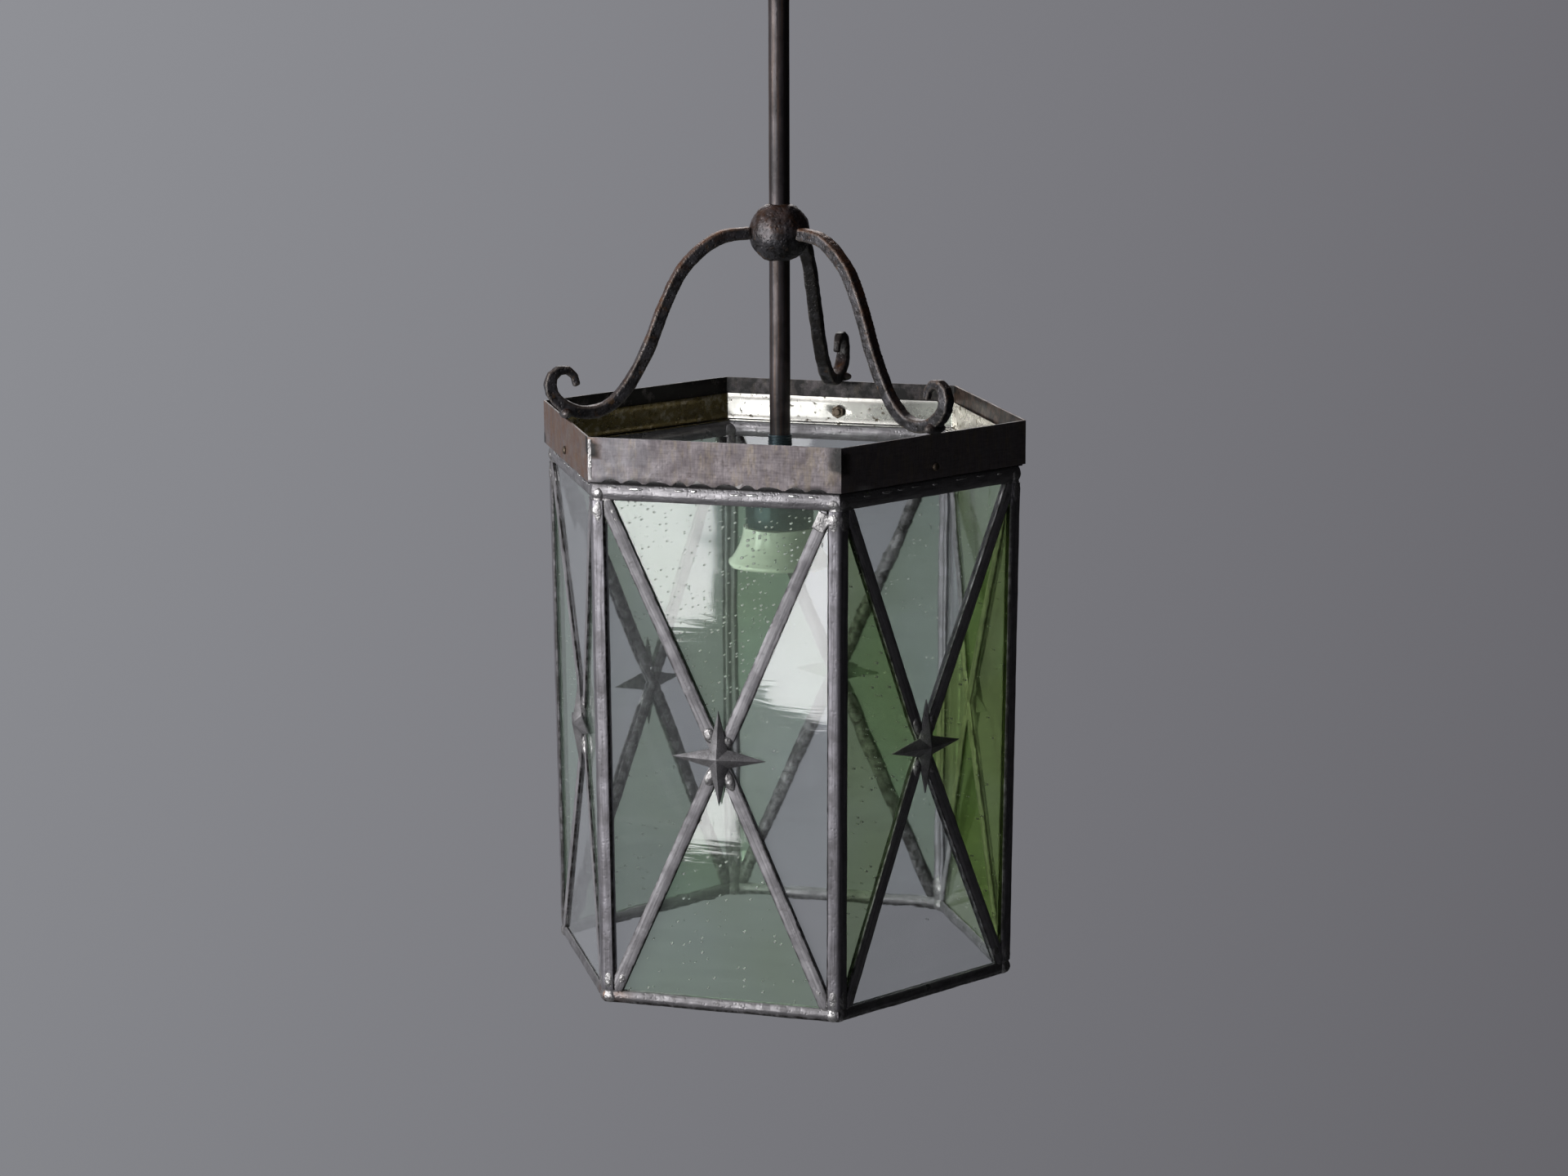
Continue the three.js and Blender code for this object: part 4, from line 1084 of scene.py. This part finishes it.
@dataclass
class GlassBody:
    """Rails, posts, crossed cames, stars, solder and panes, in metres."""

    skin_middle: float = 0.12272
    lean: float = 0.010313
    crossing: float = -0.523
    top: float = -0.379
    bottom: float = -0.6633
    half_top: float = 0.0644
    half_bottom: float = 0.0627
    dish: float = 0.004
    came_half: float = 0.0032
    wider: float = 1.2
    flatter: float = 0.42
    crown: float = 0.00145
    bead_count: int = 8
    # Height of the darkest strip along the lower rail's foot.
    dark_foot_height: float = 0.0026
    stained_tip: float = -120
    # Share of painted shade on the inner faces of the far sides' leads and stars.
    inner_shade_by_side = {"b": 0.8, "d": 0.9, "e": 0.8}

    def build(self) -> None:
        """Makes the leads, then the stars, the solder and the glass."""
        self.rails()
        self.beads()
        self.posts()
        for side in SIDES_ROUND:
            self.cross_came(side)
            self.star(side)
            self.star_solder(side)
            for place in ("top", "bottom", "left", "right"):
                self.pane(side, place)
            for z, down in ((self.top, -1), (self.bottom, 1)):
                self.corner_solder(side, z, down)

    def rails(self) -> None:
        """The two rails: the upper plump and bright, the lower rougher and darker towards its foot, both with painted
        shade where they face down and a painted highlight where they face up.
        """
        for node, name, lumps in (("top_rail", "lead_top_rail", 0.4), ("bottom_rail", "lead_bottom_rail", 0.6)):
            work = Work.on_node(node, name).ease(0.5)
            for side in SIDES_ROUND[:3]:
                work.slice(side.across, 2.5)
            work.lump(Pattern.SWELL, 21, lumps).lump(Pattern.SWELL, 4, lumps * 0.7)
            low = node_box(node)[0].z + self.dark_foot_height
            foot_darkening = 0.85 * (node == "bottom_rail")
            work.lay(round_the_hexagon)
            # The lower rail is darker all over and darkest along its foot; both rails get painted shade where they face
            # down.
            work.paint(Mark.SCORCH, lambda p, n: max(0.32, min(1, (low - p.z) / 0.001)) * foot_darkening + 0.7 * max(0, -n.z - 0.3))
            # A painted highlight where the rails face up, and the brown stain at one corner's foot.
            work.paint(Mark.BLOOM, lambda p, n: 1.6 * max(0, n.z - 0.4)).paint(Mark.RUST, self.tip_stain)
            work.dress(TINNED_LEAD, BODY, node)

    def tip_stain(self, point: Vector, normal: Vector) -> float:
        """The brown stain at the foot of the corner left of the front face."""
        tip = level(self.stained_tip) * node_box("bottom_rail")[1].x + UP * self.bottom
        return max(0, 1 - (point - tip).length / 0.02) * (point.z < self.crossing)

    def beads(self) -> None:
        """Beads of tin along the top rail, under the band."""
        chance = random.Random(4)
        skin, high = node_box("top_rail")[1].y, node_box("top_rail")[1].z
        drops = []
        for side in SIDES_ROUND:
            for i in range(self.bead_count):
                across = (i + chance.uniform(0.1, 0.9)) / self.bead_count * 2 - 1
                centre = (side.outward * (skin - 0.0004) + side.across * across * self.half_top
                          + UP * (high - chance.uniform(0.0016, 0.003)))
                drops.append(drop(centre, side.across, side.outward, (
                    chance.uniform(0.001, 0.0045), chance.uniform(0.0005, 0.001), 0.0006)))
        drops[0].join(*drops[1:]).lump(Pattern.SWELL, 2, 0.5)
        drops[0].shape.name = drops[0].shape.data.name = "solder_beads_top"
        drops[0].dress(TIN_BEAD, BODY, angle=60)

    def posts(self) -> None:
        """The six corner posts."""
        for side in SIDES_ROUND:
            pair = side.letter + LETTERS[(side.index + 1) % SIDES]
            node = f"corner_post_{pair}"
            out, tangent = self.corner_ways(side)
            low, high = node_box("corner_post_bc")
            flank = high.y * 0.93
            work = Work.on_node(node, f"lead_post_{pair}").ease(0.3).slice(UP, 5)
            work.lump(Pattern.SWELL, 20, 0.4).lump(Pattern.SWELL, 5, 0.15)
            work.lay(lambda p: Vector((tangent.dot(p), p.z, 0)))
            # Painted shadow lines along the post's two edges, where the glass sits back from the lead.
            work.paint(Mark.SCORCH, lambda p, n: float(abs(tangent.dot(p)) > flank))
            work.dress(POST_LEAD, BODY, node)

    def corner_ways(self, side: Side) -> tuple[Vector, Vector]:
        """The level directions out of and along the corner to the right of a side."""
        out = level(math.degrees(side.angle) + 30)
        return out, UP.cross(out)

    def diagonals(self) -> list[tuple[float, float]]:
        """Across and up shares of the two diagonal directions."""
        run, rise = self.half_top + self.half_bottom, self.top - self.bottom
        length = math.hypot(run, rise)
        return [(sign * run / length, rise / length) for sign in (1, -1)]

    def on_panel(self, side: Side, across: float, height: float, proud: float = 0.0) -> Vector:
        """The point of a side's dished panel at a place across and up, this far out of the strips' crowns."""
        half = self.half_bottom + (self.half_top - self.half_bottom) * (height - self.bottom) / (self.top - self.bottom)
        share = min(1 - abs(across) / half, (self.top - height) / (self.top - self.crossing),
                    (height - self.bottom) / (self.crossing - self.bottom))
        out = self.skin_middle + self.lean * (height - self.crossing) - self.dish * max(0, share) + proud
        return side.outward * out + side.across * across + UP * height

    def cross_came(self, side: Side) -> None:
        """The crossed diagonal leads of one panel."""
        node = f"cross_came_{side.letter}"
        ways = self.diagonals()

        def strip(point: Vector) -> tuple[float, float, int]:
            """How far a point is beside and along the nearer strip, and which it is."""
            across, height = side.across.dot(point), point.z - self.crossing
            beside = [across * rise - height * run for run, rise in ways]
            index = 0 if abs(beside[0]) < abs(beside[1]) else 1
            run, rise = ways[index]
            return beside[index], across * run + height * rise, index

        work = Work.on_node(node, f"lead_cross_{side.letter}").ease(0.25)
        for run, rise in ways:
            work.slice(side.across * run + UP * rise, 4)
        for vertex in work.shape.data.vertices:
            beside, along, index = strip(vertex.co)
            run, rise = ways[index]
            below = side.outward.dot(self.on_panel(side, side.across.dot(vertex.co), vertex.co.z) - vertex.co)
            if below < self.crown:
                vertex.co += side.outward * below * (1 - self.flatter)
            clear = max(0, min(1, (abs(along) - 0.008) / 0.008))
            vertex.co += (side.across * rise - UP * run) * beside * (self.wider - 1) * clear
        work.lump(Pattern.SWELL, 14, 0.3).lump(Pattern.SWELL, 5, 0.14)
        work.lay(lambda p: Vector(strip(p)))
        # Painted shadow lines along both edges of each strip, where the glass sits under its lips, and painted shade on
        # the inner faces of some sides.
        edge = self.came_half * self.wider * 0.95
        inner_shade = self.inner_shade_by_side.get(side.letter, 0)
        work.paint(Mark.SCORCH, lambda p, n: max(float(abs(strip(p)[0]) > edge), inner_shade * faces_in(p, n)))
        work.dress(LEAD, BODY, node)

    def star(self, side: Side) -> None:
        """The cast star over the crossing."""
        node = f"star_{side.letter}"
        work = Work.on_node(node, f"cast_star_{side.letter}").ease(0.22, 20)
        inner_shade = self.inner_shade_by_side.get(side.letter, 0)
        # Painted shade on the star's inner face, on the far sides.
        work.paint(Mark.SCORCH, lambda p, n: inner_shade * faces_in(p, n)).dress(STAR_LEAD, BODY, node, angle=25)

    def star_solder(self, side: Side) -> None:
        """Solder wiped over the strips' ends beside the star."""
        chance = random.Random(side.index)
        drops = []
        for run, rise in self.diagonals():
            for way in (1, -1):
                reach = chance.uniform(0.0115, 0.0145)
                long = chance.uniform(0.004, 0.008)
                if side.letter == "a" and run > 0 and way > 0:
                    reach, long = 0.0105, 0.0035
                centre = self.on_panel(side, run * way * reach, self.crossing + rise * way * reach, -0.0008)
                drops.append(drop(centre, side.across * run + UP * rise, side.outward,
                                  (long, chance.uniform(0.0033, 0.0039), 0.0022)))
        drops[0].join(*drops[1:]).remesh(0.5).lump(Pattern.SWELL, 3, 0.7).lump(Pattern.SWELL, 1.3, 0.3)
        drops[0].shape.name = drops[0].shape.data.name = f"solder_star_{side.letter}"
        drops[0].dress(SOLDER, BODY, angle=60)

    def corner_solder(self, side: Side, z: float, down: int) -> None:
        """Solder over the corner to the right of a side, where rail, post and strips meet.

        Args:
            side: the side to the left of the corner.
            z: height of the opening's edge there.
            down: -1 at the top rail and 1 at the bottom rail, the way that the post runs.
        """
        following = SIDES_ROUND[(side.index + 1) % SIDES]
        chance = random.Random(100 + side.index * 2 + down)
        out, tangent = self.corner_ways(side)
        reach = (self.skin_middle + self.lean * (z - self.crossing)) / math.cos(HALF_SIDE)
        half = self.half_top if down < 0 else self.half_bottom
        drops = [drop(out * (reach - 0.0054) + UP * (z - down * 0.0038), tangent, out, (0.0066, 0.0046, 0.0050)),
                 drop(out * (reach - 0.0052) + UP * (z + down * 0.006), UP, out, (0.0120, 0.0060, 0.0048))]
        for panel, sign in ((side, 1), (following, -1)):
            run, rise = self.diagonals()[0]
            far = chance.uniform(0.006, 0.0085)
            across, height = sign * (half - 0.0005 - run * far), z + down * rise * far
            way = panel.across * sign * -run + UP * down * rise
            stepped = panel.letter == "a" and sign > 0 and down < 0
            centre = self.on_panel(panel, across, height, -0.0012 if stepped else -0.0016)
            half_size = (chance.uniform(0.005, 0.0075), 0.0040, 0.0016)
            drops.append(drop(centre, way, panel.outward, half_size if stepped else (0.011, 0.0038, 0.0016), stepped))
        drops[0].join(*drops[1:]).remesh(0.5, 5).lump(Pattern.SWELL, 5, 0.7).lump(Pattern.SWELL, 1.5, 0.25)
        place = "top" if down < 0 else "bottom"
        name = f"solder_{place}_{side.letter}{following.letter}"
        drops[0].shape.name = drops[0].shape.data.name = name
        drops[0].dress(SOLDER, BODY, angle=60)

    def pane(self, side: Side, place: str) -> None:
        """One pane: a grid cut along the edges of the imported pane, given its thickness and its ripples.

        Args:
            side: the side that it is in.
            place: top, bottom, left or right.
        """
        node = f"pane_{side.letter}_{place}"
        template = Work.on_node(node, "template")
        faces = sorted(template.shape.data.polygons, key=lambda face: -face.area)
        front = max(faces[:2], key=lambda face: face.normal.dot(side.outward))
        back = min(faces[:2], key=lambda face: face.normal.dot(side.outward))
        normal, centre = front.normal.copy(), front.center.copy()
        thickness = normal.dot(centre - back.center)
        edges = [(face.center.copy(), face.normal.copy()) for face in faces[2:]]
        bpy.data.objects.remove(template.shape)
        green = (side.index % 2 == 0) == (place in ("top", "bottom"))
        turn = normal.to_track_quat("Z", "Y").to_euler()
        work = start(bpy.ops.mesh.primitive_grid_add, f"glass_{side.letter}_{place}", x_subdivisions=60,
                     y_subdivisions=60, size=0.36, location=centre, rotation=turn).seat()
        with work.editing():
            for point, away in edges:
                bpy.ops.mesh.select_all(action="SELECT")
                bpy.ops.mesh.bisect(plane_co=point, plane_no=away, clear_outer=True)
        work.modify("SOLIDIFY", thickness=thickness, offset=-1)
        cut = PANES.get(f"{side.letter}_{place}", PaneCut())
        for vertex in work.shape.data.vertices:
            across, height = side.across.dot(vertex.co - centre), vertex.co.z - centre.z
            vertex.co += normal * (height * (cut.nod + cut.twist * across) + across * cut.turn)
        work.lump(Pattern.SWELL, 40, 0.05)
        shift = side.index * 0.7 + ("top", "bottom", "left", "right").index(place) * 0.31
        work.lay(lambda p: Vector((side.across.dot(p) + shift, p.z, cut.depth)))
        seedy = work.shape.data.attributes.new("seedy", "FLOAT", "POINT")
        seedy.data.foreach_set("value", [cut.seedy] * len(work.shape.data.vertices))
        work.dress(GREEN_GLASS if green else CLEAR_GLASS, BODY, node, angle=30)


def drop(centre: Vector, along: Vector, outward: Vector, half: tuple[float, float, float],
         square: bool = False) -> Work:
    """One drop or wipe of solder.

    Args:
        centre: its middle.
        along: its long direction.
        outward: its direction out of the metal under it.
        half: half its size along, across and outward.
        square: whether it is a flat wipe with a step, and not a round drop.

    Returns:
        The drop.
    """
    if square:
        work = start(bpy.ops.mesh.primitive_cube_add, "drop", size=2)
    else:
        work = start(bpy.ops.mesh.primitive_uv_sphere_add, "drop", segments=16, ring_count=10, radius=1)
    along = (along - outward * along.dot(outward)).normalized()
    turn = Matrix((along * half[0], outward.cross(along) * half[1], outward * half[2])).transposed().to_4x4()
    work.shape.data.transform(Matrix.Translation(centre) @ turn)
    return work


class Lampholder:
    """The metal cap, the screw shell and the porcelain skirt."""

    neck_radius = 0.008
    neck_rim = 0.007
    slim_radius = 0.0067
    thread = 0.0008
    threads = 6

    def build(self) -> None:
        """Makes the three turned pieces."""
        cap = Work.on_node("lampholder_cap", "spun_cap")
        with cap.editing():
            bpy.ops.mesh.select_all(action="DESELECT")
        for vertex in cap.shape.data.vertices:
            vertex.select = self.neck_rim < vertex.co.xy.length < self.neck_radius * 1.01
        bpy.ops.object.mode_set(mode="EDIT")
        slim = self.slim_radius / self.neck_radius
        bpy.ops.transform.resize(value=(slim, slim, 1), center_override=(0, 0, 0))
        bpy.ops.object.mode_set(mode="OBJECT")
        rings = [start(bpy.ops.mesh.primitive_torus_add, "thread", major_segments=48, minor_segments=8,
                       major_radius=self.slim_radius, minor_radius=self.thread / 2,
                       location=(0, 0, node_box("lampholder_cap")[1].z - self.thread * (2 * i + 1))).seat()
                 for i in range(self.threads)]
        cap.soften(2).join(*rings).dress(CAP_METAL, BODY, "lampholder_cap")
        Work.on_node("lampholder_shell", "screw_shell").soften(1).dress(BRASS, BODY, "lampholder_shell")
        work = Work.on_node("porcelain_skirt", "porcelain_bell").soften(2, crease=0.5)
        work.lump(Pattern.SWELL, 20, 0.15).dress(PORCELAIN, BODY, "porcelain_skirt")


def main() -> None:
    """Builds the studio and the lantern, piece by piece."""
    logging.basicConfig(level=logging.INFO, format="%(relativeCreated)7d %(message)s")
    Studio().build()
    for assembly in (Suspension(), Ironwork(), Gallery(), GlassBody(), Lampholder()):
        log.info("building %s", type(assembly).__name__)
        assembly.build()


if __name__ == "__main__":
    main()
